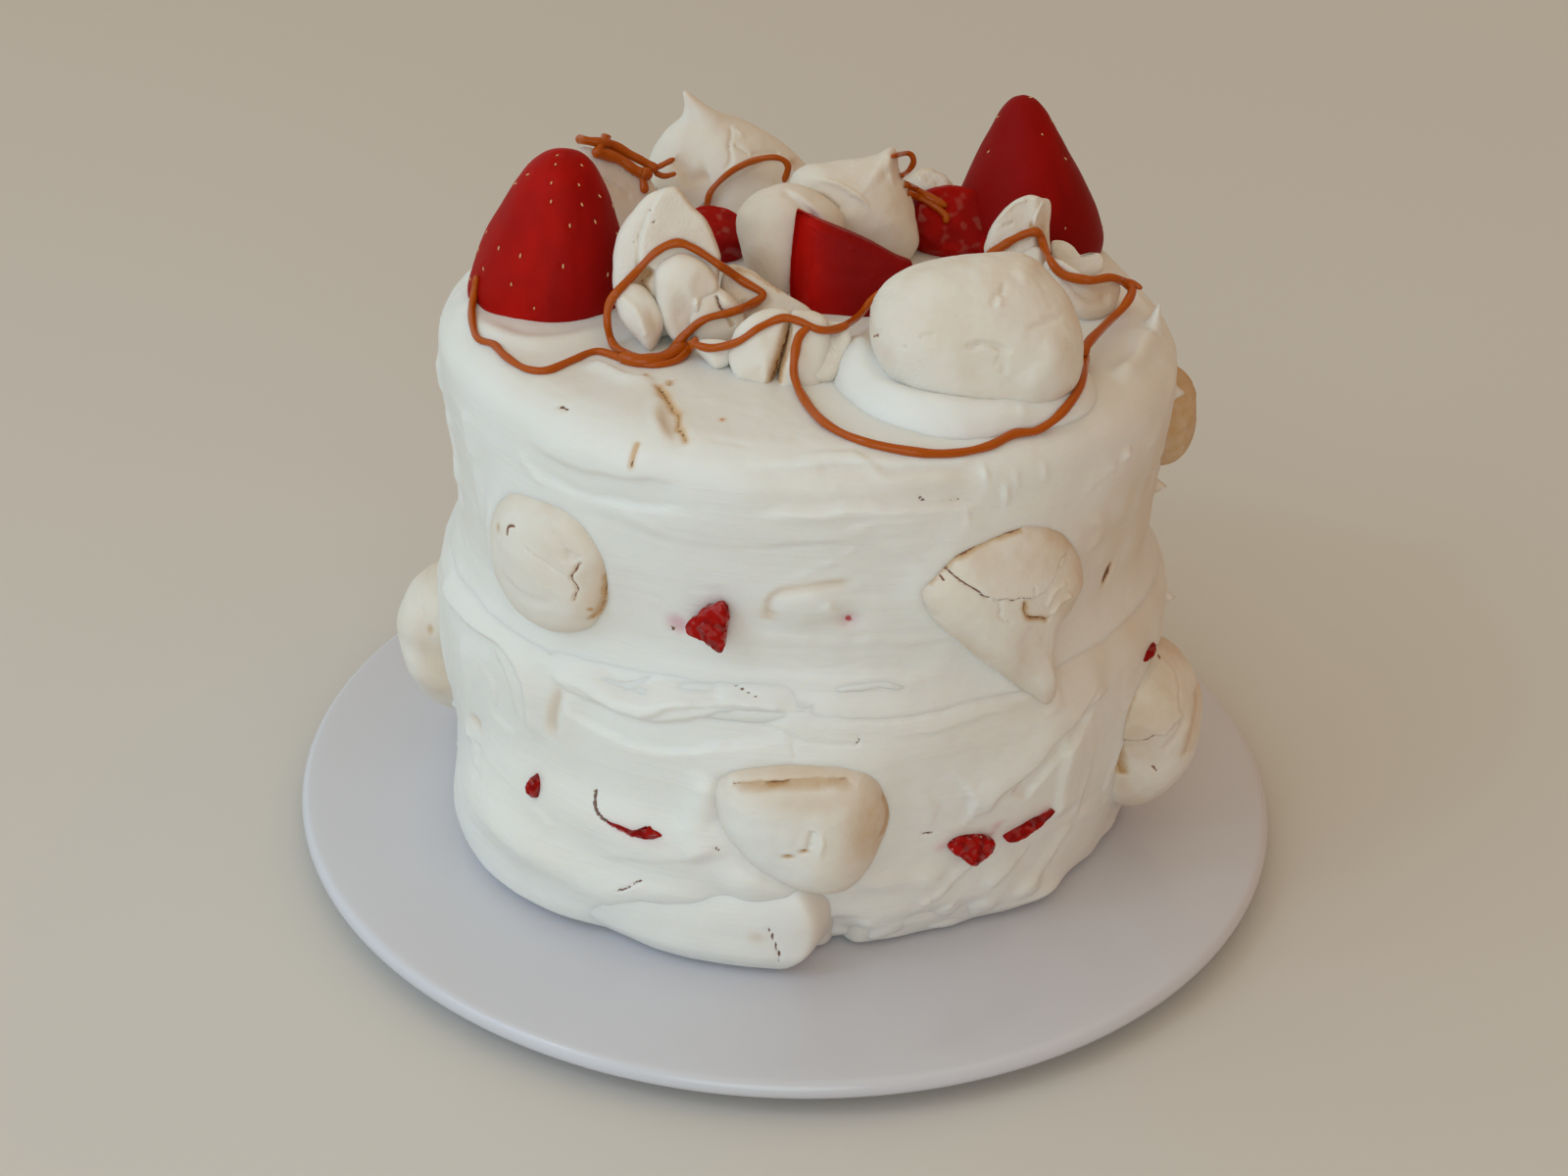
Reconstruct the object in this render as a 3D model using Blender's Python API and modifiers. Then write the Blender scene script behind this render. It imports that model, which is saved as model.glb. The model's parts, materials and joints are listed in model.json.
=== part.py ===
"""Meringue cake coated in cream, with strawberries and broken meringue, on its flat round plate."""
import math
import random

import bmesh
import bpy
from mathutils import Euler, Matrix, Vector

MM = 0.001

# clearance round every piece that is set into another
GAP = 0.42

# plate, in millimetres: flat glazed disc on a low foot ring
PLATE_RADIUS = 150
PLATE_TOP = 12
PLATE_EDGE = 7
FOOT_OUTER = 96
FOOT_INNER = 86
PLATE_STEPS = 52

# cake, in millimetres: its upright axis and its levels
CAKE_X = 1.5
CAKE_Y = 5.5
CAKE_TOP = 170
CAKE_STEPS = 46
BASE_STEPS = 56
BASE_LOW = PLATE_TOP + 0.35
BASE_HIGH = 33.6
BODY_LOW = BASE_HIGH + 0.5

# cream coat as (height, radius), bottom to top: a low tier, a waist and a high tier
COAT = (
    (BODY_LOW, 104.6), (48, 106.4), (65, 108), (82, 108.2), (91, 106.4), (99, 102.4), (107, 101.2),
    (118, 102.4), (134, 104.2), (150, 105.4), (160, 104.4), (166, 99.5), (169.2, 92), (CAKE_TOP, 84),
)
TOP_EDGE = 160

# meringue base as (height, radius), and the deep notch between two of its lobes
BASE = ((BASE_LOW, 98), (13.8, 101.4), (18, 104.2), (25, 105.4), (30.5, 105.2), (BASE_HIGH, 104))
LOBE_ANGLE = -106
LOBE_WIDTH = 23
LOBE_DEPTH = 7
NOTCH_ANGLE = -81.5
NOTCH_WIDTH = 4.2
NOTCH_DEPTH = 9

# kisses set into the side: name, angle, height, half width, half height, reach from the axis,
# half depth, tilt, squareness, point direction, point length
SIDE_KISSES = (
    ("side_kiss_left", -131.5, 122.5, 22, 20, 110.5, 14, -14, 2.3, 0, 0),
    ("side_kiss_right", -57.5, 120, 24, 25.5, 113.5, 15, 20, 2.3, -86, 12),
    ("side_kiss_front", -88, 61, 23.5, 21.5, 118, 20, -6, 2.8, 0, 0),
    ("side_kiss_low_right", -17, 50, 21.5, 27.5, 125.5, 23, 15, 2.4, 0, 0),
    ("side_kiss_low_left", -177, 56, 17, 22, 121.5, 20, 0, 2.2, -90, 6),
    ("side_kiss_high_right", 3, 133, 16, 14.5, 114.5, 14, 0, 2.2, 0, 0),
    ("side_kiss_back_a", 36, 62, 21, 20, 117.5, 19, 15, 2.4, -160, 7),
    ("side_kiss_back_b", 63, 121, 21, 19, 112.5, 15, -18, 2.3, 0, 0),
    ("side_kiss_back_c", 93, 60, 23, 20, 118, 20, 6, 2.6, 0, 0),
    ("side_kiss_back_d", 122, 120, 19, 22, 112.5, 15, 20, 2.2, -70, 9),
    ("side_kiss_back_e", 151, 58, 20, 22, 118.5, 20, -10, 2.3, 0, 0),
)

# strawberry chips pressed into the coat: name, angle, height, half width, half height, tilt
CHIPS = (
    ("chip_front_upper", -104, 118, 7.8, 7, 35),
    ("chip_front_left", -116.5, 50, 9.5, 2.6, -20),
    ("chip_front_right_a", -61, 44, 6.8, 4.4, 10),
    ("chip_front_right_b", -51, 45.5, 7.6, 2.6, 20),
    ("chip_right", -24, 80, 5.4, 4.6, 0),
    ("chip_back_a", 47, 101, 6.6, 5.2, 20),
    ("chip_back_b", 77, 44, 7, 3.6, -15),
    ("chip_back_c", 108, 88, 6, 5.4, 40),
    ("chip_back_d", 137, 44, 7.4, 3.4, 12),
)
CHIP_PROUD = 1

# broken meringue on the top: name, centre, half sizes, turn, flat breaks as (direction, depth)
SHARDS = (
    ("shard_upright", (-39, -17, 186), (15, 8.5, 21), (-16, 4, 0), (((0, -1, 0.1), 0.42), ((0.5, 0, 1), 0.92))),
    ("shard_petal_a", (-44, -32.5, 172), (7.5, 7, 8.5), (0, 20, 0), (((-0.3, -0.2, 1), 0.7),)),
    ("shard_petal_b", (-31, -29, 173), (6.5, 7, 9), (-10, -14, 0), (((0.6, -0.2, 1), 0.72),)),
    ("shard_petal_c", (-22, -27, 171.5), (6.5, 9, 5.5), (-8, 0, 35), (((0.3, 0.6, 1), 0.7),)),
    ("shard_wedge", (-12, -9, 174), (14, 8.5, 6), (0, 14, -48), (((0, 0.4, 1), 0.35), ((0, -1, 0.3), 0.6))),
    ("shard_nugget_a", (-12, -47, 172), (6.2, 9.5, 8), (0, -8, -10), (((1, 0.2, 0), 0.75),)),
    ("shard_nugget_b", (-1.5, -47.5, 172), (5.6, 9.5, 8.5), (0, 6, -8), (((-1, 0, 0.2), 0.75),)),
    ("shard_flat", (8, -47, 171), (5, 9, 6), (-12, 0, 10), (((0.3, -0.1, 1), 0.6),)),
    ("shard_leaf", (61.5, 23, 181), (8, 6, 13), (-14, 16, 0), (((-0.1, -1, 0.3), 0.4), ((1, 0, 0.4), 0.62))),
    ("shard_block", (66, 10, 175.5), (5.4, 5.4, 7.5), (0, 10, 20), (((0, -1, 0.4), 0.6), ((1, 0, 0), 0.7))),
    ("shard_long", (80.5, -2, 174), (13.5, 7, 6.5), (0, 14, -38), (((0.2, -0.6, 1), 0.55),)),
    ("shard_crust", (76, 19.5, 176), (9.5, 4.6, 6), (0, 6, -8), (((0, -1, 0.5), 0.3), ((0, 0.3, 1), 0.7))),
    ("shard_round", (36, 64, 176.5), (8, 8, 8), (0, 10, 0), (((0, -0.4, 1), 0.85),)),
    ("shard_lean", (-61, 47, 180), (11, 7.5, 18), (0, -24, 18), (((0.4, -1, 0), 0.42), ((-0.4, 0, 1), 0.9))),
    ("shard_back_a", (-50, 66, 173), (10, 8, 6.5), (10, 0, 20), (((0, 0.2, 1), 0.6),)),
    ("shard_back_b", (9, 71, 173.5), (11, 9, 7.5), (0, -12, 30), (((0.2, 0.3, 1), 0.55),)),
)

# colour and roughness of each kind of piece
CREAM = ((0.83, 0.80, 0.74), 0.42)
MERINGUE = ((0.84, 0.76, 0.65), 0.62)
BERRY = ((0.42, 0.012, 0.01), 0.28)
GLAZE = ((0.78, 0.78, 0.79), 0.12)

# turned outlines as (radius, height) shares, lowest first
STOUT_BERRY = (
    (0, 0), (0.6, 0.01), (0.92, 0.06), (1, 0.16), (0.95, 0.33), (0.8, 0.54), (0.61, 0.74), (0.43, 0.89),
    (0.24, 0.97), (0, 1),
)
SLIM_BERRY = (
    (0, 0), (0.6, 0.01), (0.92, 0.07), (1, 0.18), (0.9, 0.35), (0.7, 0.55), (0.47, 0.74), (0.3, 0.89),
    (0.16, 0.97), (0, 1),
)
DOMED_KISS = (
    (0, 0), (0.8, 0.01), (0.96, 0.12), (1, 0.28), (0.94, 0.47), (0.78, 0.66), (0.5, 0.83), (0.22, 0.94), (0, 1),
)
PEAKED_KISS = (
    (0, 0), (0.82, 0.01), (1, 0.15), (0.97, 0.31), (0.82, 0.47), (0.58, 0.62), (0.28, 0.74), (0.12, 0.86), (0, 1),
)
DOLLOP = ((0, 0), (0.9, 0.02), (1, 0.32), (0.93, 0.66), (0.76, 0.94), (0, 1))
BALL = tuple((math.sin(math.pi * i / 6) ** 0.85, 0.5 - 0.5 * math.cos(math.pi * i / 6)) for i in range(7))
CHIP = ((0, 0), (0.8, 0.15), (1, 0.6), (0.6, 0.93), (0, 1))


def clear_scene():
    for item in list(bpy.data.objects):
        bpy.data.objects.remove(item, do_unlink=True)


def collection(name):
    made = bpy.data.collections.new(name)
    bpy.context.scene.collection.children.link(made)
    return made


def material(name, look):
    colour, roughness = look
    made = bpy.data.materials.new(name)
    made.use_nodes = True
    shader = made.node_tree.nodes["Principled BSDF"]
    shader.inputs["Base Color"].default_value = (*colour, 1)
    shader.inputs["Roughness"].default_value = roughness
    shader.inputs["Metallic"].default_value = 0
    return made


def radians(degrees):
    return [math.radians(angle) for angle in degrees]


def read_table(x, table):
    """Straight-line reading of a table of (x, y) pairs."""
    for (x0, y0), (x1, y1) in zip(table, table[1:]):
        if x <= x1:
            return y0 + (y1 - y0) * (x - x0) / (x1 - x0)
    return table[-1][1]


def near(angle, centre, width):
    """One at the centre angle, fading to nothing over the width, in degrees."""
    off = (angle - centre + 180) % 360 - 180
    return math.exp(-(off / width) ** 2)


def shaped_ball(outline, steps, place):
    """UV sphere whose rows follow an outline; place(angle, radius, height) gives each point in millimetres."""
    rows = len(outline) - 1
    bm = bmesh.new()
    bmesh.ops.create_uvsphere(bm, u_segments=steps, v_segments=rows, radius=1)
    for vert in bm.verts:
        row = round((1 - math.acos(max(-1, min(1, vert.co.z))) / math.pi) * rows)
        radius, height = outline[row]
        angle = math.atan2(vert.co.y, vert.co.x)
        vert.co = Vector(place(angle, radius, height)) * MM
    return bm


def flat_cut(bm, point, normal):
    """Cut a solid flat and keep what lies behind the plane."""
    everything = bm.verts[:] + bm.edges[:] + bm.faces[:]
    bmesh.ops.bisect_plane(
        bm, geom=everything, plane_co=point, plane_no=normal, clear_outer=True, dist=0.0001
    )
    rim = [edge for edge in bm.edges if edge.is_boundary]
    bmesh.ops.holes_fill(bm, edges=rim)


def coat_radius(angle, height):
    """Radius of the cream coat at an angle in degrees: gently lumpy and fuller on the right."""
    turn = math.radians(angle)
    level = height / CAKE_TOP
    radius = read_table(height, COAT)
    radius += 0.7 * math.sin(3 * turn + 5 * level)
    radius += 0.5 * math.sin(5 * turn - 9 * level + 1)
    # cream pushed out under the waist on the right, and the ridge it forms at the front
    radius += 1.6 * near(angle, -8, 15) * math.exp(-((height - 88) / 12) ** 2)
    radius += 2.4 * near(angle, -98, 24) * math.exp(-((height - 96) / 5) ** 2)
    # and a slimmer high tier on the left
    radius -= 1.9 * near(angle, 180, 40) * math.exp(-((height - 132) / 27) ** 2)
    return radius


def make_body():
    outline = [(1, height) for height, _ in COAT]
    outline = [(0, BODY_LOW)] + outline + [(0, CAKE_TOP)]

    def place(turn, share, height):
        angle = math.degrees(turn)
        radius = share * coat_radius(angle, height)
        sag = 3.4 * near(angle, 165, 34) + 3.6 * near(angle, 18, 36)
        sag *= share if height > TOP_EDGE else 0
        return (radius * math.cos(turn), radius * math.sin(turn), height - sag)

    return shaped_ball(outline, CAKE_STEPS, place)


def make_base():
    outline = [(0, BASE_LOW)] + [(radius, height) for height, radius in BASE] + [(0, BASE_HIGH)]

    def place(turn, radius, height):
        angle = math.degrees(turn)
        out = 1.1 * math.sin(4 * turn + 1) + 0.9 * math.sin(7 * turn + height / 9)
        out += LOBE_DEPTH * near(angle, LOBE_ANGLE, LOBE_WIDTH)
        out -= NOTCH_DEPTH * near(angle, NOTCH_ANGLE, NOTCH_WIDTH)
        radius += out if radius else 0
        return (radius * math.cos(turn), radius * math.sin(turn), height)

    return shaped_ball(outline, BASE_STEPS, place)


def make_plate_profile():
    """Half section of the plate from the middle of its top, out and round to the middle underneath."""
    under = PLATE_TOP - PLATE_EDGE
    section = (
        (0, PLATE_TOP), (PLATE_RADIUS - 9, PLATE_TOP), (PLATE_RADIUS - 2.4, PLATE_TOP - 0.7),
        (PLATE_RADIUS, PLATE_TOP - 3), (PLATE_RADIUS - 1.2, PLATE_TOP - 5.6), (PLATE_RADIUS - 5, under),
        (FOOT_OUTER + 2, under - 0.8), (FOOT_OUTER - 1, 0), (FOOT_INNER + 1, 0), (FOOT_INNER - 2, under - 0.8),
        (0, under - 0.8),
    )
    bm = bmesh.new()
    points = [bm.verts.new((radius * MM, 0, height * MM)) for radius, height in section]
    for start, end in zip(points, points[1:]):
        bm.edges.new((start, end))
    return bm


def make_side_kiss(wide, tall, deep, square, point, length, seed):
    """Rounded meringue lying against the side: +Z points out of the cake and -X points up."""

    def place(turn, share, height):
        side = abs(math.cos(turn)) ** square + abs(math.sin(turn)) ** square
        spread = share * side ** (-1 / square)
        spread *= 1 + 0.05 * math.sin(3 * turn + seed) + 0.03 * math.sin(5 * turn + 2 * seed)
        across = wide * spread * math.cos(turn)
        up = tall * spread * math.sin(turn)
        pull = length * share ** 2 * near(math.degrees(turn), point, 21)
        across += pull * math.cos(math.radians(point))
        up += pull * math.sin(math.radians(point))
        return (-up, across, deep * (2 * height - 1))

    return shaped_ball(BALL, 12, place)


def make_chip(wide, tall):
    """Cut corner of strawberry, turned the same way as a side kiss."""

    def place(turn, share, height):
        spread = share * (1 + 0.22 * math.cos(3 * turn))
        return (-tall * spread * math.sin(turn), wide * spread * math.cos(turn), 6.5 * (height - 1))

    return shaped_ball(CHIP, 7, place)


def make_berry(tip, radius, outline):
    """Whole strawberry standing on its shoulder at the origin, with its tip leaning a little."""

    def place(turn, share, height):
        swell = radius * share * (1 + 0.035 * math.cos(2 * turn + 0.6) + 0.02 * math.sin(3 * turn))
        x = tip[0] * height + swell * math.cos(turn)
        y = tip[1] * height + swell * math.sin(turn)
        return (x, y, tip[2] * height)

    return shaped_ball(outline, 14, place)


def make_kiss(radius, tall, outline, steps, pull, seed):
    """Piped kiss or dollop standing at the origin; its point is drawn sideways by pull."""

    def place(turn, share, height):
        swell = 1 + 0.03 * math.sin(3 * turn + seed) + 0.02 * math.sin(5 * turn + 2 * seed)
        drawn = max(height - 0.25, 0) ** 1.6
        x = radius * share * swell * math.cos(turn) + pull[0] * drawn
        y = radius * share * swell * math.sin(turn) + pull[1] * drawn
        return (x, y, tall * height)

    return shaped_ball(outline, steps, place)


def make_lump(half, seed):
    """Smooth uneven ball about the origin."""

    def place(turn, share, height):
        swell = share * (1 + 0.05 * math.sin(3 * turn + seed) + 0.03 * math.sin(5 * turn + 2 * seed))
        x = half[0] * swell * math.cos(turn)
        y = half[1] * swell * math.sin(turn)
        return (x, y, half[2] * (2 * height - 1))

    return shaped_ball(BALL, 12, place)


def make_cut_berry(half, cuts):
    """Strawberry lump with flat knife cuts, each a point and a direction in millimetres."""
    bm = make_lump(half, 1)
    for point, normal in cuts:
        flat_cut(bm, Vector(point) * MM, Vector(normal))
    return bm


def make_shard(name, half, breaks):
    """Broken lump of meringue: a rough ball with flat breaks."""
    rough = random.Random(name)
    bm = bmesh.new()
    bmesh.ops.create_icosphere(bm, subdivisions=2, radius=1)
    for vert in bm.verts:
        vert.co *= 1 + rough.uniform(-0.07, 0.07)
    for direction, depth in breaks:
        normal = Vector(direction).normalized()
        flat_cut(bm, normal * depth, normal)
    bmesh.ops.transform(bm, matrix=Matrix.Diagonal((*(size * MM for size in half), 1)), verts=bm.verts)
    bmesh.ops.recalc_face_normals(bm, faces=bm.faces)
    return bm


def add_piece(name, bm, look, home, location=(0, 0, 0), turned=(0, 0, 0), parent=None):
    """Named object with its own material, placed by its location and rotation."""
    mesh = bpy.data.meshes.new(name)
    bm.to_mesh(mesh)
    bm.free()
    mesh.materials.append(material(name, look))
    mesh.shade_smooth()
    mesh.set_sharp_from_angle(angle=math.radians(42))
    item = bpy.data.objects.new(name, mesh)
    item.location = Vector(location) * MM
    item.rotation_euler = Euler(radians(turned))
    item.parent = parent
    home.objects.link(item)
    return item


def rest_flat(item, level):
    """Trim a top piece level, just above the cream that it stands on."""
    bpy.context.view_layer.update()
    inward = item.matrix_world.inverted()
    point = inward @ Vector((item.location.x, item.location.y, level * MM))
    normal = inward.to_3x3() @ Vector((0, 0, -1))
    bm = bmesh.new()
    bm.from_mesh(item.data)
    flat_cut(bm, point, normal)
    bm.to_mesh(item.data)
    bm.free()


def add_cutter(item, home):
    """Copy of a piece grown by the clearance, which cuts its seat in later pieces."""
    bm = bmesh.new()
    bm.from_mesh(item.data)
    bm.normal_update()
    moves = [vert.normal * GAP * MM * min(vert.calc_shell_factor(), 2.2) for vert in bm.verts]
    for vert, move in zip(bm.verts, moves):
        vert.co += move
    mesh = bpy.data.meshes.new("seat_" + item.name)
    bm.to_mesh(mesh)
    bm.free()
    cutter = bpy.data.objects.new("seat_" + item.name, mesh)
    cutter.location = item.location
    cutter.rotation_euler = item.rotation_euler
    cutter.parent = item.parent
    cutter.hide_render = True
    cutter.display_type = "WIRE"
    home.objects.link(cutter)
    return cutter


def world_box(item):
    corners = [item.matrix_world @ vert.co for vert in item.data.vertices]
    low = [min(corner[i] for corner in corners) for i in range(3)]
    high = [max(corner[i] for corner in corners) for i in range(3)]
    return low, high


def cut_seats(pieces, home):
    """Earlier pieces keep their shape, and each later one is cut to fit round those it meets."""
    done = []
    for item in pieces:
        low, high = world_box(item)
        for cutter, cut_low, cut_high in done:
            if any(cut_low[i] > high[i] or low[i] > cut_high[i] for i in range(3)):
                continue
            seat = item.modifiers.new(cutter.name, "BOOLEAN")
            seat.operation = "DIFFERENCE"
            seat.solver = "EXACT"
            seat.object = cutter
        cutter = add_cutter(item, home)
        bpy.context.view_layer.update()
        done.append((cutter, *world_box(cutter)))


def build():
    clear_scene()
    parts = collection("meringue_cake_on_plate")
    cutters = collection("seat_cutters")
    axis = bpy.data.objects.new("cake_axis", None)
    axis.location = (CAKE_X * MM, CAKE_Y * MM, 0)
    parts.objects.link(axis)

    # the plate is turned from its half section
    plate = add_piece("plate", make_plate_profile(), GLAZE, parts)
    turning = plate.modifiers.new("turning", "SCREW")
    turning.axis = "Z"
    turning.angle = math.tau
    turning.steps = PLATE_STEPS
    turning.render_steps = PLATE_STEPS
    turning.use_merge_vertices = True
    turning.merge_threshold = 0.0001

    pieces = []

    # whole strawberries and whole kisses
    berry = make_berry((4.5, -1, 49.5), 19.6, STOUT_BERRY)
    pieces.append(add_piece("strawberry_left", berry, BERRY, parts, (-72, -1, 162.5)))
    berry = make_berry((-7, 1, 52), 21, SLIM_BERRY)
    pieces.append(add_piece("strawberry_right", berry, BERRY, parts, (68, 49, 162.5)))
    kiss = make_kiss(27.5, 31, DOMED_KISS, 18, (13, 3), 1)
    pieces.append(add_piece("kiss_front", kiss, MERINGUE, parts, (44, -46.5, 168)))
    kiss = make_kiss(25, 37, PEAKED_KISS, 16, (-24, 0), 4)
    pieces.append(add_piece("kiss_back", kiss, MERINGUE, parts, (-24.5, 77, 166)))

    # what stands on the top, trimmed level with the cream
    standing = []
    wedge = make_cut_berry(
        (21, 12, 25), (((0, 4, 0), (0, 1, 0)), ((0, 0, 8), (0.36, 0, 1)), ((-13, 0, 0), (-1, -0.3, 0.1)))
    )
    standing.append(add_piece("strawberry_wedge", wedge, BERRY, parts, (10, -7, 182), (-34, 4, 4)))
    lump = make_lump((20.5, 15.5, 16), 2)
    standing.append(add_piece("kiss_centre_left", lump, MERINGUE, parts, (-1, 19, 178), (-18, 8, 0)))
    lump = make_lump((17.5, 16, 17.5), 5)
    standing.append(add_piece("kiss_centre_right", lump, MERINGUE, parts, (13.5, 33, 180.5), (0, 10, 0)))
    half = make_cut_berry((14.5, 11, 10.5), (((0, -3, 4), (0.1, -1, 0.9)),))
    standing.append(add_piece("strawberry_back", half, BERRY, parts, (43, 42, 175.5), (0, 8, 0)))
    half = make_cut_berry((10, 9, 10), (((0, 0, 6), (0.3, -0.3, 1)),))
    standing.append(add_piece("strawberry_middle", half, BERRY, parts, (-27, 29, 175)))
    for name, centre, half, turned, breaks in SHARDS:
        shard = make_shard(name, half, breaks)
        standing.append(add_piece(name, shard, MERINGUE, parts, centre, turned))
    for item in standing:
        rest_flat(item, CAKE_TOP + GAP)
    pieces += standing

    dollop = make_kiss(35, 13.5, DOLLOP, 18, (0, 0), 2)
    pieces.append(add_piece("cream_dollop", dollop, CREAM, parts, (42, -46, 164)))

    # what is set into the side: each local +Z points straight out of the cake
    for name, angle, height, wide, tall, reach, deep, tilt, square, point, length in SIDE_KISSES:
        kiss = make_side_kiss(wide, tall, deep, square, point, length, angle)
        turn = math.radians(angle)
        place = ((reach - deep) * math.cos(turn), (reach - deep) * math.sin(turn), height)
        item = add_piece(name, kiss, MERINGUE, parts, place, parent=axis)
        item.rotation_euler = (Matrix.Rotation(turn, 3, "Z") @ Matrix.Rotation(math.pi / 2, 3, "Y")
                               @ Matrix.Rotation(math.radians(tilt), 3, "Z")).to_euler()
        pieces.append(item)
    for name, angle, height, wide, tall, tilt in CHIPS:
        turn = math.radians(angle)
        reach = coat_radius(angle, height) + CHIP_PROUD
        place = (reach * math.cos(turn), reach * math.sin(turn), height)
        item = add_piece(name, make_chip(wide, tall), BERRY, parts, place, parent=axis)
        item.rotation_euler = (Matrix.Rotation(turn, 3, "Z") @ Matrix.Rotation(math.pi / 2, 3, "Y")
                               @ Matrix.Rotation(math.radians(tilt), 3, "Z")).to_euler()
        pieces.append(item)

    pieces.append(add_piece("meringue_base", make_base(), MERINGUE, parts, parent=axis))
    pieces.append(add_piece("cake_body", make_body(), CREAM, parts, parent=axis))
    bpy.context.view_layer.update()
    cut_seats(pieces, cutters)


build()
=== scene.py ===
import json
import math
import random

import bmesh
import bpy
import numpy as np
from mathutils import Matrix, Vector
from mathutils.bvhtree import BVHTree

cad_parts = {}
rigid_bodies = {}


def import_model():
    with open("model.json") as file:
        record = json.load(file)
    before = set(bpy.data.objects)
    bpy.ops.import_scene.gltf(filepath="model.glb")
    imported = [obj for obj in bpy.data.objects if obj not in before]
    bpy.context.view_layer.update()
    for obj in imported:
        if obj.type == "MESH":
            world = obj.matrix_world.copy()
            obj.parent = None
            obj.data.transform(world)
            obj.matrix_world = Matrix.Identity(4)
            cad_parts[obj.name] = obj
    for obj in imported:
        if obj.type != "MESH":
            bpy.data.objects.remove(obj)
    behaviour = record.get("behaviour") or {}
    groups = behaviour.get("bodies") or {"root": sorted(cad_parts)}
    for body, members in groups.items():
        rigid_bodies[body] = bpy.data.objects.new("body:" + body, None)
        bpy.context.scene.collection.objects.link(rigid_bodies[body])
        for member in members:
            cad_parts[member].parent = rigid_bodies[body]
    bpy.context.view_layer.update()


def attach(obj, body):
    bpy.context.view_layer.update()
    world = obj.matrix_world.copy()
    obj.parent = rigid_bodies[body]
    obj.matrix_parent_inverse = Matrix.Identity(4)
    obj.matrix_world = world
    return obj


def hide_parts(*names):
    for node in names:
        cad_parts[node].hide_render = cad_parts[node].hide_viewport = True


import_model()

mm = 0.001
axisX, axisY = 1.5, 5.5  # the cake's upright axis on the plate
sideRadius, pieceRadius, chipRadius = 105.0, 108, 106  # lengths round the side are taken here
rimLevel = 160  # level at which the side starts to turn over into the rim
vanish = 60  # a bell this far down its slope counts as nothing


def soften(low, high, x):
    t = np.clip((x - low) / (high - low), 0, 1)
    return t * t * (3 - 2 * t)


def bell(x):
    return np.exp(-np.minimum(x * x, vanish))


def hump(away, power):
    # like a bell, but a higher power gives a flatter top and steeper sides
    return np.exp(-np.minimum(away ** power, vanish))


def ovalAway(du, dv, half, turn=0.0):
    # distance from the middle of a turned oval, in shares of its half sizes
    c, s = math.cos(math.radians(turn)), math.sin(math.radians(turn))
    return np.hypot((du * c + dv * s) / half[0], (dv * c - du * s) / half[1])


def tapered(share, start, end):
    # a stroke's strength along its length: it comes in over the first share and goes out over the last
    return soften(0, start, share) * soften(0, end, 1 - share)


def turnOff(angle, centre):
    return (angle - centre + 180) % 360 - 180


def blurTable(values, width, odd=False):
    # smooths a dense row of values; odd rows pass through zero at both ends
    reach = int(width * 3) + 1
    kernel = bell(np.arange(-reach, reach + 1) / width)
    flip = -1 if odd else 1
    wide = np.concatenate([flip * values[reach:0:-1], values, flip * values[-2:-reach - 2:-1]])
    return np.convolve(wide, kernel / kernel.sum(), "valid")


def softTable(x, table, blur=3.0, steps=400):
    # reads given (x, y) pairs through a smoothed line
    xs, ys = zip(*table)
    dense = np.linspace(xs[0], xs[-1], steps)
    return np.interp(x, dense, blurTable(np.interp(dense, xs, ys), blur * steps / (xs[-1] - xs[0])))


noiseChance = np.random.RandomState(7)
noiseOrder = np.tile(noiseChance.permutation(256), 3)
noiseSlopes = noiseChance.normal(size=(256, 3))
noiseSlopes /= np.linalg.norm(noiseSlopes, axis=1)[:, None]
noiseShift = np.array([17.3, 5.1, 29.7])  # each seed looks at another part of the noise
noiseGain = 1.7


def wander(points, size, seed=0):
    # smooth noise of about plus or minus one; size is its grain in millimetres
    place = points / np.asarray(size, float) + seed * noiseShift
    cell = np.floor(place).astype(int)
    part = place - cell
    ease = part ** 3 * (part * (part * 6 - 15) + 10)
    cell &= 255
    total = np.zeros(len(points))
    for corner in range(8):
        step = (corner & 1, corner >> 1 & 1, corner >> 2 & 1)
        pick = 0
        for axis in range(3):
            pick = noiseOrder[pick + cell[:, axis] + step[axis]]
        weight = np.ones(len(points))
        for axis in range(3):
            weight *= ease[:, axis] if step[axis] else 1 - ease[:, axis]
        total += weight * ((part - step) * noiseSlopes[pick]).sum(axis=1)
    return total * noiseGain


def softCurve(points, steps=6):
    # smooth curve through given points
    points = np.array(points, float)
    padded = np.vstack([2 * points[0] - points[1], points, 2 * points[-1] - points[-2]])
    made = []
    for a, b, c, d in zip(padded, padded[1:], padded[2:], padded[3:]):
        for t in np.arange(steps) / steps:
            made.append(0.5 * (2 * b + (c - a) * t + (2 * a - 5 * b + 4 * c - d) * t ** 2
                               + (3 * b - a - 3 * c + d) * t ** 3))
    made.append(points[-1])
    return np.array(made)


def curveOf(path):
    return softCurve(path) if len(path) > 2 else np.array(path, float)


def alongPath(u, v, path):
    # distance to a path (positive on its left) and the share of its length, for every point
    best = np.full(len(u), 1e9)
    left = np.ones(len(u))
    share = np.zeros(len(u))
    lengths = np.hypot(*np.diff(path, axis=0).T)
    total = lengths.sum()
    done = 0.0
    for start, step, length in zip(path, np.diff(path, axis=0), lengths):
        if length < 1e-6:
            continue
        t = np.clip(((u - start[0]) * step[0] + (v - start[1]) * step[1]) / length ** 2, 0, 1)
        offU = u - start[0] - t * step[0]
        offV = v - start[1] - t * step[1]
        distance = np.hypot(offU, offV)
        closer = distance < best
        best = np.where(closer, distance, best)
        left = np.where(closer, np.sign(step[0] * offV - step[1] * offU), left)
        share = np.where(closer, (done + t * length) / total, share)
        done += length
    return best * left, share


def meshOf(name, bm):
    mesh = bpy.data.meshes.new(name)
    bm.to_mesh(mesh)
    bm.free()
    return mesh


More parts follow.
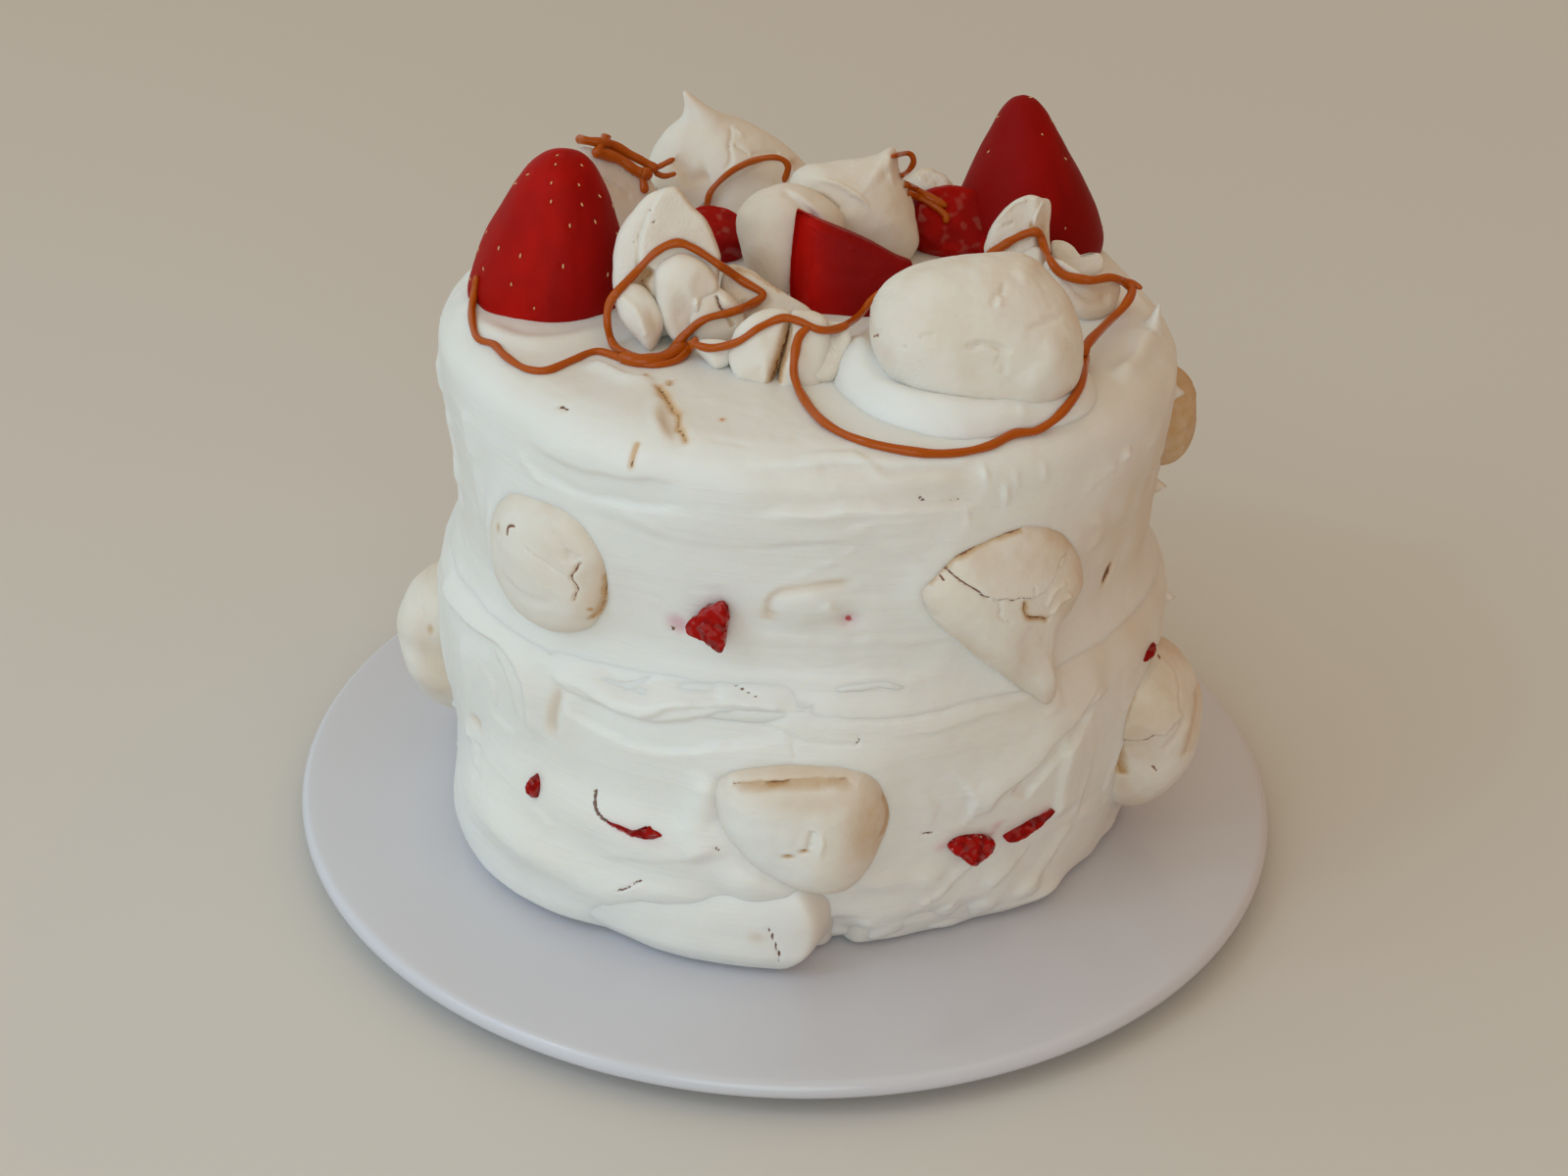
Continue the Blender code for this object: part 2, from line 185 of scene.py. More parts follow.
def uvBall(name, columns, rows):
    # fine grid wrapped round into a closed ball
    bm = bmesh.new()
    bmesh.ops.create_grid(bm, x_segments=columns, y_segments=rows, size=1)
    mesh = meshOf(name, bm)
    flat = readPoints(mesh)
    turn, rise = flat[:, 0] * math.pi, flat[:, 1] * math.pi / 2
    setPoints(mesh, np.column_stack([np.cos(rise) * np.cos(turn), np.cos(rise) * np.sin(turn),
                                     np.sin(rise)]) / mm)
    bm = bmesh.new()
    bm.from_mesh(mesh)
    bmesh.ops.remove_doubles(bm, verts=[vert for vert in bm.verts if vert.is_boundary], dist=1e-6)
    bm.to_mesh(mesh)
    bm.free()
    return mesh


def icoBall(name, levels):
    bm = bmesh.new()
    bmesh.ops.create_icosphere(bm, subdivisions=levels, radius=1)
    return meshOf(name, bm)


def readPoints(mesh):
    flat = np.empty(len(mesh.vertices) * 3)
    mesh.vertices.foreach_get("co", flat)
    return flat.reshape(-1, 3)


def setPoints(mesh, points):
    mesh.vertices.foreach_set("co", (points * mm).ravel())
    mesh.update()


def paint(mesh, name, values):
    # tones are stored on the mesh, where the materials read them
    made = mesh.attributes.new(name, "FLOAT", "POINT")
    made.data.foreach_set("value", np.clip(values, 0, 1).astype(np.float32))


class Tones:
    # tones painted on a surface's points; a stroke only ever makes a tone stronger
    def start(self, count, names):
        self.tones = {name: np.zeros(count) for name in names}

    def tint(self, name, values, pick=slice(None)):
        tone = self.tones[name]
        tone[pick] = np.maximum(tone[pick], values)

    def paintOn(self, mesh):
        for name, values in self.tones.items():
            paint(mesh, name, values)


def addPiece(name, mesh, finish, nodes=()):
    mesh.materials.clear()
    mesh.materials.append(finish)
    mesh.shade_smooth()
    piece = bpy.data.objects.new(name, mesh)
    bpy.context.scene.collection.objects.link(piece)
    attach(piece, "root")
    if nodes:
        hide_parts(*nodes)
    return piece


class Wire:
    # a node's output that can be used in sums
    def __init__(self, look, socket):
        self.look = look
        self.socket = socket

    def maths(self, operation, first, second, clamp=False):
        settings = {"operation": operation, "use_clamp": clamp}
        return self.look.node("ShaderNodeMath", settings, {0: first, 1: second})

    def __add__(self, other):
        return self.maths("ADD", self, other)

    def __sub__(self, other):
        return self.maths("SUBTRACT", self, other)

    def __mul__(self, other):
        return self.maths("MULTIPLY", self, other)

    def kept(self):
        # held between nought and one
        return self.maths("ADD", self, 0.0, True)


class Nodes:
    # a node tree and the shader at its end
    def __init__(self, owner, shader):
        owner.use_nodes = True
        self.tree = owner.node_tree
        self.shader = self.tree.nodes[shader]

    def node(self, kind, settings, inputs, output=0):
        made = self.tree.nodes.new(kind)
        for key, value in settings.items():
            setattr(made, key, value)
        for key, value in inputs.items():
            if isinstance(value, Wire):
                self.tree.links.new(value.socket, made.inputs[key])
            else:
                made.inputs[key].default_value = value
        return Wire(self, made.outputs[output])

    def blend(self, share, first, second):
        first = first if isinstance(first, Wire) else (*first, 1)
        second = second if isinstance(second, Wire) else (*second, 1)
        return self.node("ShaderNodeMix", {"data_type": "RGBA"}, {0: share, 6: first, 7: second}, 2)

    def feed(self, socket, wire):
        self.tree.links.new(wire.socket, self.shader.inputs[socket])


class Look(Nodes):
    # one material; sockets holds the values set on the shader itself
    def __init__(self, name, sockets):
        self.material = bpy.data.materials.new(name)
        super().__init__(self.material, "Principled BSDF")
        self.place = self.node("ShaderNodeTexCoord", {}, {}, "Object")
        for socket, value in sockets.items():
            self.shader.inputs[socket].default_value = value

    def noise(self, scale, detail=3.0, rough=0.55, place=None):
        inputs = {"Vector": place or self.place, "Scale": scale, "Detail": detail, "Roughness": rough}
        return self.node("ShaderNodeTexNoise", {}, inputs, "Fac")

    def tone(self, name):
        return self.node("ShaderNodeAttribute", {"attribute_name": name}, {}, "Fac")

    def crisp(self, name):
        # a painted tone with a sharp, slightly ragged edge
        ragged = self.tone(name) + (self.noise(900, 3) - 0.5) * 0.4
        return self.between(ragged, 0.66, 0.76) * 0.92

    def between(self, wire, low, high):
        inputs = {"Value": wire, "From Min": low, "From Max": high}
        return self.node("ShaderNodeMapRange", {"interpolation_type": "SMOOTHSTEP"}, inputs)

    def bump(self, height, distance, strength=1.0):
        inputs = {"Height": height, "Distance": distance, "Strength": strength}
        self.feed("Normal", self.node("ShaderNodeBump", {}, inputs, "Normal"))


def glow(weight, radius, scale):
    return {"Subsurface Weight": weight, "Subsurface Radius": radius, "Subsurface Scale": scale}


# 'dark' is painted shade: the near-black brown drawn into cuts, nicks and pits where shade falls
creamLook = {"white": (0.80, 0.795, 0.77), "shade": (0.765, 0.735, 0.68), "toast": (0.62, 0.37, 0.15),
             "dark": (0.14, 0.038, 0.006), "juice": (0.50, 0.03, 0.035), "blush": (0.66, 0.36, 0.40),
             "sockets": {"Roughness": 0.44, **glow(0.35, (1.0, 0.75, 0.5), 0.004)},
             "drawn": {"Rotation": (0.05, 0.09, 0), "Scale": (22, 22, 420)}}  # fine lines left by the knife


def makeCream():
    look = Look("whippedCream", creamLook["sockets"])
    cloudy = look.between(look.noise(22, 3), 0.42, 0.72)
    colour = look.blend(cloudy * 0.5, creamLook["white"], creamLook["shade"])
    for name, share in (("toast", look.tone), ("blush", look.tone), ("juice", look.crisp),
                        ("dark", look.crisp)):
        colour = look.blend(share(name), colour, creamLook[name])
    look.feed("Base Color", colour)
    drawn = look.node("ShaderNodeMapping", {}, {"Vector": look.place, **creamLook["drawn"]}, "Vector")
    strokes = look.between(look.noise(1, 3, place=drawn), 0.42, 0.6)
    look.bump(look.noise(260, 4) * 0.6 + look.noise(900, 2) * 0.25 + strokes * 0.4, 0.0004, 0.33)
    return look.material


# 'dark' is painted shade: the dark brown drawn along cracks, creases and pores where shade falls
meringueLook = {"white": (0.78, 0.735, 0.67), "shade": (0.74, 0.66, 0.56), "toast": (0.56, 0.35, 0.17),
                "dark": (0.20, 0.05, 0.006), "juice": (0.40, 0.035, 0.02),
                "sockets": {"Roughness": 0.6, **glow(0.25, (1.0, 0.7, 0.45), 0.003)}}


def makeMeringue():
    look = Look("bakedMeringue", meringueLook["sockets"])
    cloudy = look.between(look.noise(60, 4), 0.4, 0.7)
    colour = look.blend(cloudy * 0.6, meringueLook["white"], meringueLook["shade"])
    fleck = look.between(look.noise(700, 2), 0.72, 0.8)
    colour = look.blend(fleck * 0.35, colour, meringueLook["toast"])
    colour = look.blend(look.tone("clean"), colour, creamLook["white"])
    uneven = look.noise(220, 3)
    colour = look.blend((look.tone("toast") * (uneven * 0.9 + 0.55)).kept(), colour, meringueLook["toast"])
    for name in ("juice", "dark"):
        colour = look.blend(look.crisp(name), colour, meringueLook[name])
    look.feed("Base Color", colour)
    holes = look.node("ShaderNodeTexVoronoi", {}, {"Vector": look.place, "Scale": 900.0}, "Distance")
    porous = look.between(holes, 0.0, 0.45) * look.tone("porous")
    look.bump(look.noise(500, 3) * 0.5 + porous * 0.5, 0.0004, 0.45)
    return look.material


berryLook = {"bright": (0.46, 0.006, 0.003), "deep": (0.23, 0.0035, 0.003), "pale": (0.62, 0.10, 0.05),
             "paintedGlint": (0.80, 0.52, 0.50),
             "sockets": {"Roughness": 0.5, "Specular IOR Level": 0.06, "Coat Roughness": 0.1,
                         **glow(0.2, (1.0, 0.25, 0.12), 0.002)}}


def makeBerry():
    look = Look("strawberryFlesh", berryLook["sockets"])
    cloudy = look.between(look.noise(90, 3), 0.35, 0.7) * 0.3
    colour = look.blend(cloudy, berryLook["bright"], berryLook["deep"])
    # paintedGlint is painted highlight: pale specks standing in for glints on wet flesh
    for name in ("deep", "pale", "paintedGlint"):
        colour = look.blend(look.tone(name), colour, berryLook[name])
    look.feed("Base Color", colour)
    look.feed("Coat Weight", look.tone("wet") * 0.9)
    look.bump(look.noise(350, 3), 0.0003, 0.35)
    return look.material


glazeLook = {"pale": (0.63, 0.63, 0.69), "shade": (0.61, 0.605, 0.655),
             "sockets": {"Roughness": 0.24, "Coat Weight": 0.3}}


def makeGlaze():
    look = Look("plateGlaze", glazeLook["sockets"])
    cloudy = look.between(look.noise(6, 2), 0.35, 0.7)
    look.feed("Base Color", look.blend(cloudy, glazeLook["pale"], glazeLook["shade"]))
    return look.material


caramelLook = {"Base Color": (0.43, 0.080, 0.001, 1), "Roughness": 0.25, "Specular IOR Level": 0.15,
               "Coat Weight": 0.22, "Coat Roughness": 0.05, **glow(0.15, (1.0, 0.35, 0.08), 0.0015)}
seedLook = {"Base Color": (0.72, 0.42, 0.20, 1), "Roughness": 0.4}
cream = makeCream()
meringue = makeMeringue()
berryFlesh = makeBerry()
caramel = Look("caramelSauce", caramelLook).material
glaze = makeGlaze()
seedSkin = Look("berrySeed", seedLook).material
print("materials made")


plateShape = {"radius": 150.0, "top": 12.0, "edge": 7.0, "footOuter": 96.0, "footInner": 86.0, "steps": 220,
              "roundAcross": 2.9, "roundUp": 3.0, "roundBelow": 3.3, "hollow": 0.9, "footRound": (1.6, 1.2)}


def makePlate():
    p = plateShape
    rim, top, under = p["radius"], p["top"], p["top"] - p["edge"]
    outer, inner, hollow = p["footOuter"], p["footInner"], under - p["hollow"]
    chamfer, low = p["footRound"]
    bm = bmesh.new()
    section = [(0, top), (60, top), (rim - 12, top), (rim - 5, top - 0.15)]
    for turn in np.radians(np.linspace(90, -90, 13)):  # rounded outer edge
        section.append((rim - p["roundAcross"] + p["roundAcross"] * math.cos(turn),
                        top - p["roundBelow"] + p["roundUp"] * math.sin(turn)))
    section += [(rim - 8, under), (outer + 2, hollow), (outer - 0.5, low), (outer - chamfer, 0),
                (inner + chamfer, 0), (inner + 0.3, low), (inner - 2, hollow), (0, hollow)]
    corners = [bm.verts.new((radius * mm, 0, height * mm)) for radius, height in section]
    edges = [bm.edges.new(pair) for pair in zip(corners, corners[1:])]
    bmesh.ops.spin(bm, geom=corners + edges, cent=(0, 0, 0), axis=(0, 0, 1), dvec=(0, 0, 0),
                   angle=math.tau, steps=p["steps"], use_merge=True, use_duplicate=False)
    bmesh.ops.remove_doubles(bm, verts=bm.verts, dist=1e-6)
    bmesh.ops.recalc_face_normals(bm, faces=bm.faces)
    plate = addPiece("servingPlate", meshOf("servingPlate", bm), glaze, ["plate"])
    plate.data.set_sharp_from_angle(angle=math.radians(50))


makePlate()
print("plate made")


# outline of the cream's side as (level, radius), and the waist between the tiers as (angle, level)
coatHeights = [(10, 104.0), (20, 105.0), (34, 105.0), (48, 106.4), (65, 108), (82, 108.2), (91, 106.4),
               (99, 102.4), (107, 101.2), (118, 102.4), (134, 104.2), (150, 105.4), (160, 104.9),
               (175, 104)]
waistLine = [(-180, 97), (-158, 95), (-140, 96), (-129, 98), (-115, 100.5), (-100, 102), (-86, 103),
             (-76, 103), (-69, 97), (-50, 96), (-28, 98), (0, 96), (30, 100), (62, 95), (95, 101),
             (125, 96), (150, 100), (180, 97)]

# slow waves round the side (size, waves, lean, start) and bulges (size, angle, half wide, level, half tall)
coatWaves = [(0.7, 3, 5, 0), (0.5, 5, -9, 1)]
coatBulges = [(1.6, -8, 15, 88, 12), (1.4, -98, 24, 96, 5), (-1.9, 180, 40, 132, 27)]
coatTop = 170.0  # level of the flat top


def coatRadius(angle, height):
    turn = np.radians(angle)
    level = height / coatTop
    radius = softTable(height, coatHeights, 2.2)
    for size, waves, lean, start in coatWaves:
        radius = radius + size * np.sin(waves * turn + lean * level + start)
    for size, middle, wide, rise, tall in coatBulges:
        radius += size * bell(turnOff(angle, middle) / wide) * bell((height - rise) / tall)
    return radius


def slope(away, wide, amount):
    # an even slope down from a path or a spot; fainter marks hardly reach the level that shows
    return (0.55 + 0.45 * amount) * np.maximum(0, 1 - np.abs(away) / wide)


class Coat(Tones):
    # a layer of cream as a displaced skin: strokes are set by (angle, level) in degrees and millimetres
    def __init__(self, angle, level, points):
        self.angle, self.level, self.points = angle, level, points
        self.out = np.zeros(len(angle))
        self.start(len(angle), ("toast", "blush", "dark", "juice"))
        # uneven hand: every stroke's edge wavers a little
        self.wavU = self.waves((1.3, 13, 1), (0.45, 4.5, 2))
        self.wavV = self.waves((1.1, 15, 3), (0.4, 4, 4))

    def waves(self, *layers):
        # noise in layers of size, grain and seed
        return sum(size * wander(self.points, grain, seed) for size, grain, seed in layers)

    def reach(self, path, margin):
        # the skin's points near a path, flattened round the path's first point
        centre = path[0][0]
        flat = np.array([(math.radians(turnOff(a, centre)) * sideRadius, z) for a, z in path])
        u = np.radians(turnOff(self.angle, centre)) * sideRadius
        low, high = flat.min(axis=0) - margin - 3, flat.max(axis=0) + margin + 3
        pick = np.flatnonzero((u > low[0]) & (u < high[0]) & (self.level > low[1]) & (self.level < high[1]))
        return pick, u[pick], self.level[pick], flat

    def measure(self, path, margin, waver):
        # the points near a path, their distance from it and the share of its length
        pick, u, v, flat = self.reach(path, margin)
        away, share = alongPath(u + self.wavU[pick] * waver, v + self.wavV[pick] * waver, curveOf(flat))
        return pick, away, share

    def lip(self, path, high, above=1.2, below=4.0, fade=0.12, waver=1.0):
        # raised edge: 'above' and 'below' are its widths left and right of the direction of travel
        pick, away, share = self.measure(path, 4 * max(above, below), waver)
        width = 1.25 * np.where(away > 0, above, below)  # a bell looks narrower than it is set
        self.out[pick] += 0.9 * high * bell(away / width) * tapered(share, fade, fade)

    def swipe(self, path, wide, deep, lips=(0.5, 0.5), flat=0.7, fade=0.2, tone=0.0, waver=1.0):
        # flat stroke of the knife with a raised lip on either side
        pick, away, share = self.measure(path, wide * 2, waver)
        taper = tapered(share, fade, fade * 0.5)
        inside = (1 - soften(wide * 0.7, wide, np.abs(away))) * taper
        level = (self.out[pick] * inside).sum() / (inside.sum() + 1e-6)  # mean height under the knife
        self.out[pick] += inside * (flat * (level - self.out[pick]) - deep)
        edge = bell((np.abs(away) - wide) / np.where(np.abs(away) > wide, 2.4, 1.3))  # steep on the inside
        self.out[pick] += edge * np.where(away > 0, lips[0], lips[1]) * taper
        self.tint("toast", inside * tone, pick)

    def groove(self, path, wide, deep, dark=0.0, toast=0.0, juice=0.0, waver=0.5, fade=0.15):
        # narrow cut, darkened along its floor as painted shade or stained with juice, or tinted brown
        # softly on both sides
        pick, away, share = self.measure(path, wide * 4, waver)
        taper = tapered(share, fade, fade)
        self.out[pick] -= deep * (bell(away / wide) * taper)
        for name, amount in (("dark", dark), ("juice", juice)):
            if amount:
                self.tint(name, slope(away, max(3 * wide, 2.0), amount) * taper ** 0.3, pick)
        if toast:
            self.tint("toast", toast * bell(away / (wide * 1.8)) * taper, pick)

    def dab(self, at, half, high, turn=0.0, power=2, **tones):
        # round or oval rise or hollow
        pick, u, v, flat = self.reach([at], max(half) * 2.5)
        du = u - flat[0][0] + self.wavU[pick] * 0.5
        dv = v - flat[0][1] + self.wavV[pick] * 0.5
        away = ovalAway(du, dv, half, turn)
        shape = hump(away, power)
        self.out[pick] += high * shape
        for name, amount in tones.items():
            crisp = slope(away, 2.2, amount)
            self.tint(name, amount * shape if name in ("toast", "blush") else crisp, pick)

    def gild(self, amount, angle, level, tall):
        # painted warm light and shade: an orange patch standing in for the warm light on the right flank,
        # broken where the cream lies thicker
        thin = np.maximum(0, 0.75 + self.waves((0.35, 11, 15)))
        across, up = (self.angle - angle) / 24, (self.level - level) / tall
        self.tones["toast"] += amount * thin * bell(across) * bell(up)


def knifeWork(coat, seed, count, levels, angles):
    # soft passes of the palette knife, laid over each other
    chance = random.Random(seed)
    for _ in range(count):
        start = chance.uniform(*angles)
        level = chance.uniform(*levels)
        run = chance.uniform(10, 30) * chance.choice((1, -1))
        rise = chance.uniform(-9, 9)
        bow = chance.uniform(-5, 5)
        path = [(start, level), (start + run * 0.5, level + rise * 0.5 + bow), (start + run, level + rise)]
        wide = chance.uniform(5, 12)
        lips = (chance.uniform(0.0, 0.4), chance.uniform(0.0, 0.3))
        coat.swipe(path, wide, chance.uniform(0.0, 0.5), lips, flat=0.6, fade=0.35)
    for _ in range(count // 3):
        start = chance.uniform(*angles)
        level = chance.uniform(*levels)
        run = chance.uniform(4, 15)
        middle = (start + run * 0.5, level + chance.uniform(-4, 4))
        path = [(start, level), middle, (start + run, level + chance.uniform(-9, 9))]
        coat.lip(path, chance.uniform(0.25, 0.6), chance.uniform(0.9, 1.6), chance.uniform(2.5, 6),
                 fade=0.4)


def smallWork(coat, seed, count, levels, angles):
    # slips of the knife: tiny pits darkened with painted shade, short ridges, nicks and drawn points
    chance = random.Random(seed)
    for i in range(count):
        angle, level = chance.uniform(*angles), chance.uniform(*levels)
        rise = chance.uniform(-2.4, 2.4)
        if i % 5 == 0:
            coat.dab((angle, level), (0.7, 0.6), -0.3, 0, dark=0.9)
        elif i % 5 == 1:
            for step in range(3):
                half = (chance.uniform(1.4, 2.6), 0.8)
                coat.dab((angle + 2.2 * step, level + rise * step), half, chance.uniform(0.35, 0.6),
                         rise * 8)
        elif i % 5 == 2:
            path = [(angle, level), (angle + 1.6, level + rise), (angle + 3.6, level + rise * 0.6)]
            coat.groove(path, 0.45, 0.5, chance.uniform(0, 0.8))
        elif i % 5 == 3:
            coat.dab((angle, level), (1.3, 1.1), chance.uniform(0.8, 1.7), rise * 9)
        else:
            coat.lip([(angle, level), (angle + rise * 0.6, level - 4), (angle + rise, level - 8)],
                     0.7, 0.9, 2.4, 0.3)


def sidePoint(angle, radius, height):
    turn = np.radians(angle)
    return np.column_stack([axisX + radius * np.cos(turn), axisY + radius * np.sin(turn), height])


def unwrap(mesh, squeeze=0.42):
    # angle (closer together at the front) and share from bottom to top of a ball's points
    points = readPoints(mesh)
    off = np.arctan2(points[:, 1], points[:, 0])
    angle = np.degrees(off - squeeze * np.sin(off)) - 90
    return (angle + 180) % 360 - 180, 1 - np.arccos(np.clip(points[:, 2], -1, 1)) / math.pi


def highTierWork(coat):
    # strokes as (angle, level) paths; above rimLevel the level runs on over the rim
    knifeWork(coat, 11, 44, (104, 158), (-10, 188))
    knifeWork(coat, 12, 3, (104, 152), (-178, -8))
    smallWork(coat, 13, 60, (106, 158), (-6, 200))
    # painted warm light on the upper right flank
    coat.gild(0.5, -24, 128, 34)
    # broad calm strokes across the front
    coat.swipe([(-137, 155), (-128, 153), (-117, 154), (-106, 157)], 4.6, 0.7, (0.1, 0.1), 0.8, 0.3)
    coat.swipe([(-99, 160), (-84, 163), (-74, 161), (-64, 161)], 6.4, 0.95, (0.55, 0.35), 0.8, 0.2, 0.10)
    coat.swipe([(-126, 139), (-108, 136), (-92, 138), (-74, 140)], 8.5, 0.0, (0.0, 0.0), 0.9, 0.3)
    coat.swipe([(-118, 108), (-100, 109), (-80, 109), (-66, 108)], 5.5, 0.3, (0.2, 0.35), 0.7, 0.3)
    # left flank: a vertical smear that stands at the outline
    coat.lip([(-153, 154), (-151, 140), (-150, 128), (-149, 117)], 0.9, 3.4, 0.8)
    coat.lip([(-171, 156), (-169, 138), (-166, 119), (-163, 106)], 1.3, 2.4, 3.0)
    coat.lip([(-137, 154), (-133, 150), (-130, 148)], 0.55, 0.7, 2.2, 0.3)
    coat.dab((-131, 148), (2.2, 1.2), 0.5, -25)
    coat.lip([(-117, 148), (-113, 147), (-109, 145)], 0.5, 1.0, 1.6, 0.3)
    coat.lip([(-136, 158.5), (-131.4, 159.5), (-123.4, 160.5), (-117.9, 160), (-113.5, 161.5),
              (-109.4, 166)], 1.1, 3.0, 4.2, 0.25)
    coat.groove([(-134, 153.4), (-132.5, 150.4), (-126, 149.6), (-121.9, 149.5), (-115.7, 151.5),
                 (-109.3, 152.4), (-100.6, 155)], 1.7, 0.55, fade=0.3)
    coat.groove([(-131.1, 169.6), (-129.6, 170.4), (-128.4, 169.8)], 0.6, 0.8, 0.75, 0.2)
    # hollow torn in the rim, stained, with a ragged dark edge
    coat.dab((-112.8, 178), (2.6, 9.5), -1.7, 38, 3, toast=0.38)
    coat.groove([(-121.2, 194.5), (-117.7, 189.4), (-115.1, 184.2), (-112.6, 180.6), (-110.5, 176.2),
                 (-108.6, 171.4), (-107.9, 168.6)], 0.9, 1.0, 0.5, 1.0, waver=1.8, fade=0.08)
    coat.groove([(-120.3, 198), (-118.9, 194.6)], 0.8, 0.6, 0.45, 0.8)
    coat.lip([(-118.5, 189), (-116.4, 181), (-113.4, 175), (-109.9, 169)], 0.45, 1.0, 1.6, 0.3)
    coat.groove([(-114.9, 168.4), (-114.8, 164.6), (-114.6, 160.8)], 0.45, 0.6, 0.45, 1.0, waver=0)
    coat.groove([(-105, 173), (-101, 174), (-97.6, 172.4)], 0.6, 0.3)
    coat.dab((-104.6, 183.5), (1.0, 0.9), 0.2, 0, toast=1.0, juice=0.9)
    coat.dab((-125.4, 195), (1.3, 0.9), 0.2, 0, toast=1.0, juice=0.6)
    # folds of the beige band at the right of the front
    coat.lip([(-92, 169.5), (-87.5, 171.6), (-84, 171.6), (-81.6, 169), (-79, 165), (-75, 164), (-69, 164),
              (-66.5, 161)], 0.75, 0.6, 1.9, 0.15)
    coat.lip([(-94, 166), (-90, 167.6), (-87, 167)], 0.4, 0.6, 1.6, 0.3)
    coat.lip([(-97, 156), (-90, 155), (-81, 154.4), (-73, 155.6), (-64, 155)], 0.55, 1.6, 0.7, 0.25)
    coat.groove([(-74, 156.6), (-70, 157.2), (-66, 156)], 0.4, 0.35, 0.2)
    for at, high in (((-64, 163), 0.7), ((-61, 156.5), 0.9), ((-59.6, 160), 0.5), ((-54.6, 160), 0.6),
                     ((-67, 152), 0.4)):
        coat.dab(at, (0.8, 2.4), high, 8)
    coat.groove([(-74.2, 159), (-73.9, 158.4), (-73.4, 157.2)], 0.4, 0.3, 0.8)
    for angle in (-70.4, -69.2, -68.1):
        coat.dab((angle, 157), (0.5, 0.4), -0.2, 0, dark=0.7)
    for path in ([(-88, 147), (-80, 148), (-70, 147.4)], [(-79.9, 104.8), (-75.5, 106.3), (-70, 104)],
                 [(-76, 112), (-68, 113.4), (-62, 112.6)], [(-100, 143), (-92, 145), (-84, 147.4)],
                 [(-108, 128), (-102, 129), (-97, 128.4)], [(-92, 108), (-86, 107), (-78, 109)]):
        coat.groove(path, 0.5, 0.32, fade=0.35)  # faint lines
    coat.dab((-37, 154.5), (1.7, 1.3), 1.5, 30)
    coat.dab((-40.4, 152.6), (1.0, 0.8), 0.7)
    coat.lip([(-38, 154), (-42, 151.5), (-47, 149)], 0.5, 0.7, 1.6, 0.3)
    coat.lip([(-12, 163), (-18, 158), (-24, 154), (-30, 150)], 0.9, 0.8, 2.6)
    coat.lip([(-85, 149.6), (-82, 151.8), (-78, 153), (-72, 151.5)], 0.5, 0.55, 1.8, 0.25)
    coat.dab((-82, 158.2), (0.7, 0.6), -0.3, 0, dark=0.55)
    coat.dab((-67, 148), (5, 2.6), 0.5, 20)
    # cream-covered lump, with a beige crescent on its left, and the dimple beside it
    coat.dab((-89.4, 127), (8.6, 6.6), 2.6, 8, 3)
    coat.groove([(-94.4, 121.4), (-94.6, 127), (-92.4, 131.6), (-87, 134), (-82, 134)], 0.85, 0.85, 0, 0.32)
    coat.groove([(-94.6, 121), (-94.4, 125)], 1.3, 0.3, 0, 0.4)
    coat.lip([(-86.4, 129.5), (-85.6, 126.5), (-84.4, 124.5)], 0.8, 0.8, 1.6, 0.3)
    coat.dab((-83, 122.4), (3.4, 3.0), -1.3, 0)
    coat.dab((-83, 122.0), (2.8, 2.6), 0, 0, blush=0.45)
    coat.dab((-83, 122.0), (1.3, 1.7), -0.9, 20, juice=1.0)
    coat.dab((-81.6, 116.2), (3.0, 1.6), -0.55, 0)
    coat.lip([(-97, 117.6), (-91, 116.4), (-86, 116)], 0.35, 0.6, 1.4, 0.3)
    for at, half, high, turn in (((-89.6, 137), (2.4, 0.8), 0.5, 12), ((-86.4, 140.4), (2.6, 0.8), 0.5, 12),
                                 ((-83.4, 144.2), (1.9, 0.7), 0.4, 16)):
        coat.dab(at, half, high, turn)
    coat.groove([(-113.4, 123.4), (-111, 122.4), (-109.6, 120.6)], 0.5, 0.3)
    coat.dab((-108.4, 115.4), (3.4, 3.2), -0.4, 0, 3, blush=0.75)
    coat.groove([(-109.6, 112.4), (-109.2, 114.4)], 0.4, 0.3, 0.9)
    # right flank
    coat.dab((-33.6, 113.6), (2.1, 4.4), -0.9, -18, 3, dark=1.0, toast=1.0)
    coat.lip([(-24, 130), (-32, 132), (-40, 136)], 0.6, 1.4, 3.0, 0.3)
    coat.dab((-41.6, 131), (3.2, 2.6), 1.0, 30)
    coat.dab((-42, 138), (4.6, 1.6), 0.8, -30)
    for at, half, high, turn in (((-8, 149.6), (1.4, 1.4), 3.2, 0), ((-9, 120.5), (1.4, 1.4), 3.8, 0),
                                 ((-7, 172), (1.3, 1.6), 2.0, 30)):
        coat.dab(at, half, high, turn)  # small drawn peaks at the outline
    coat.dab((-143.5, 121), (5.5, 13), 1.6, -8, 3)  # runs over the left side of the piece set in here
    coat.dab((171, 122), (1.6, 1.2), 1.8)
    coat.dab((143, 148), (1.4, 1.3), 2.2)


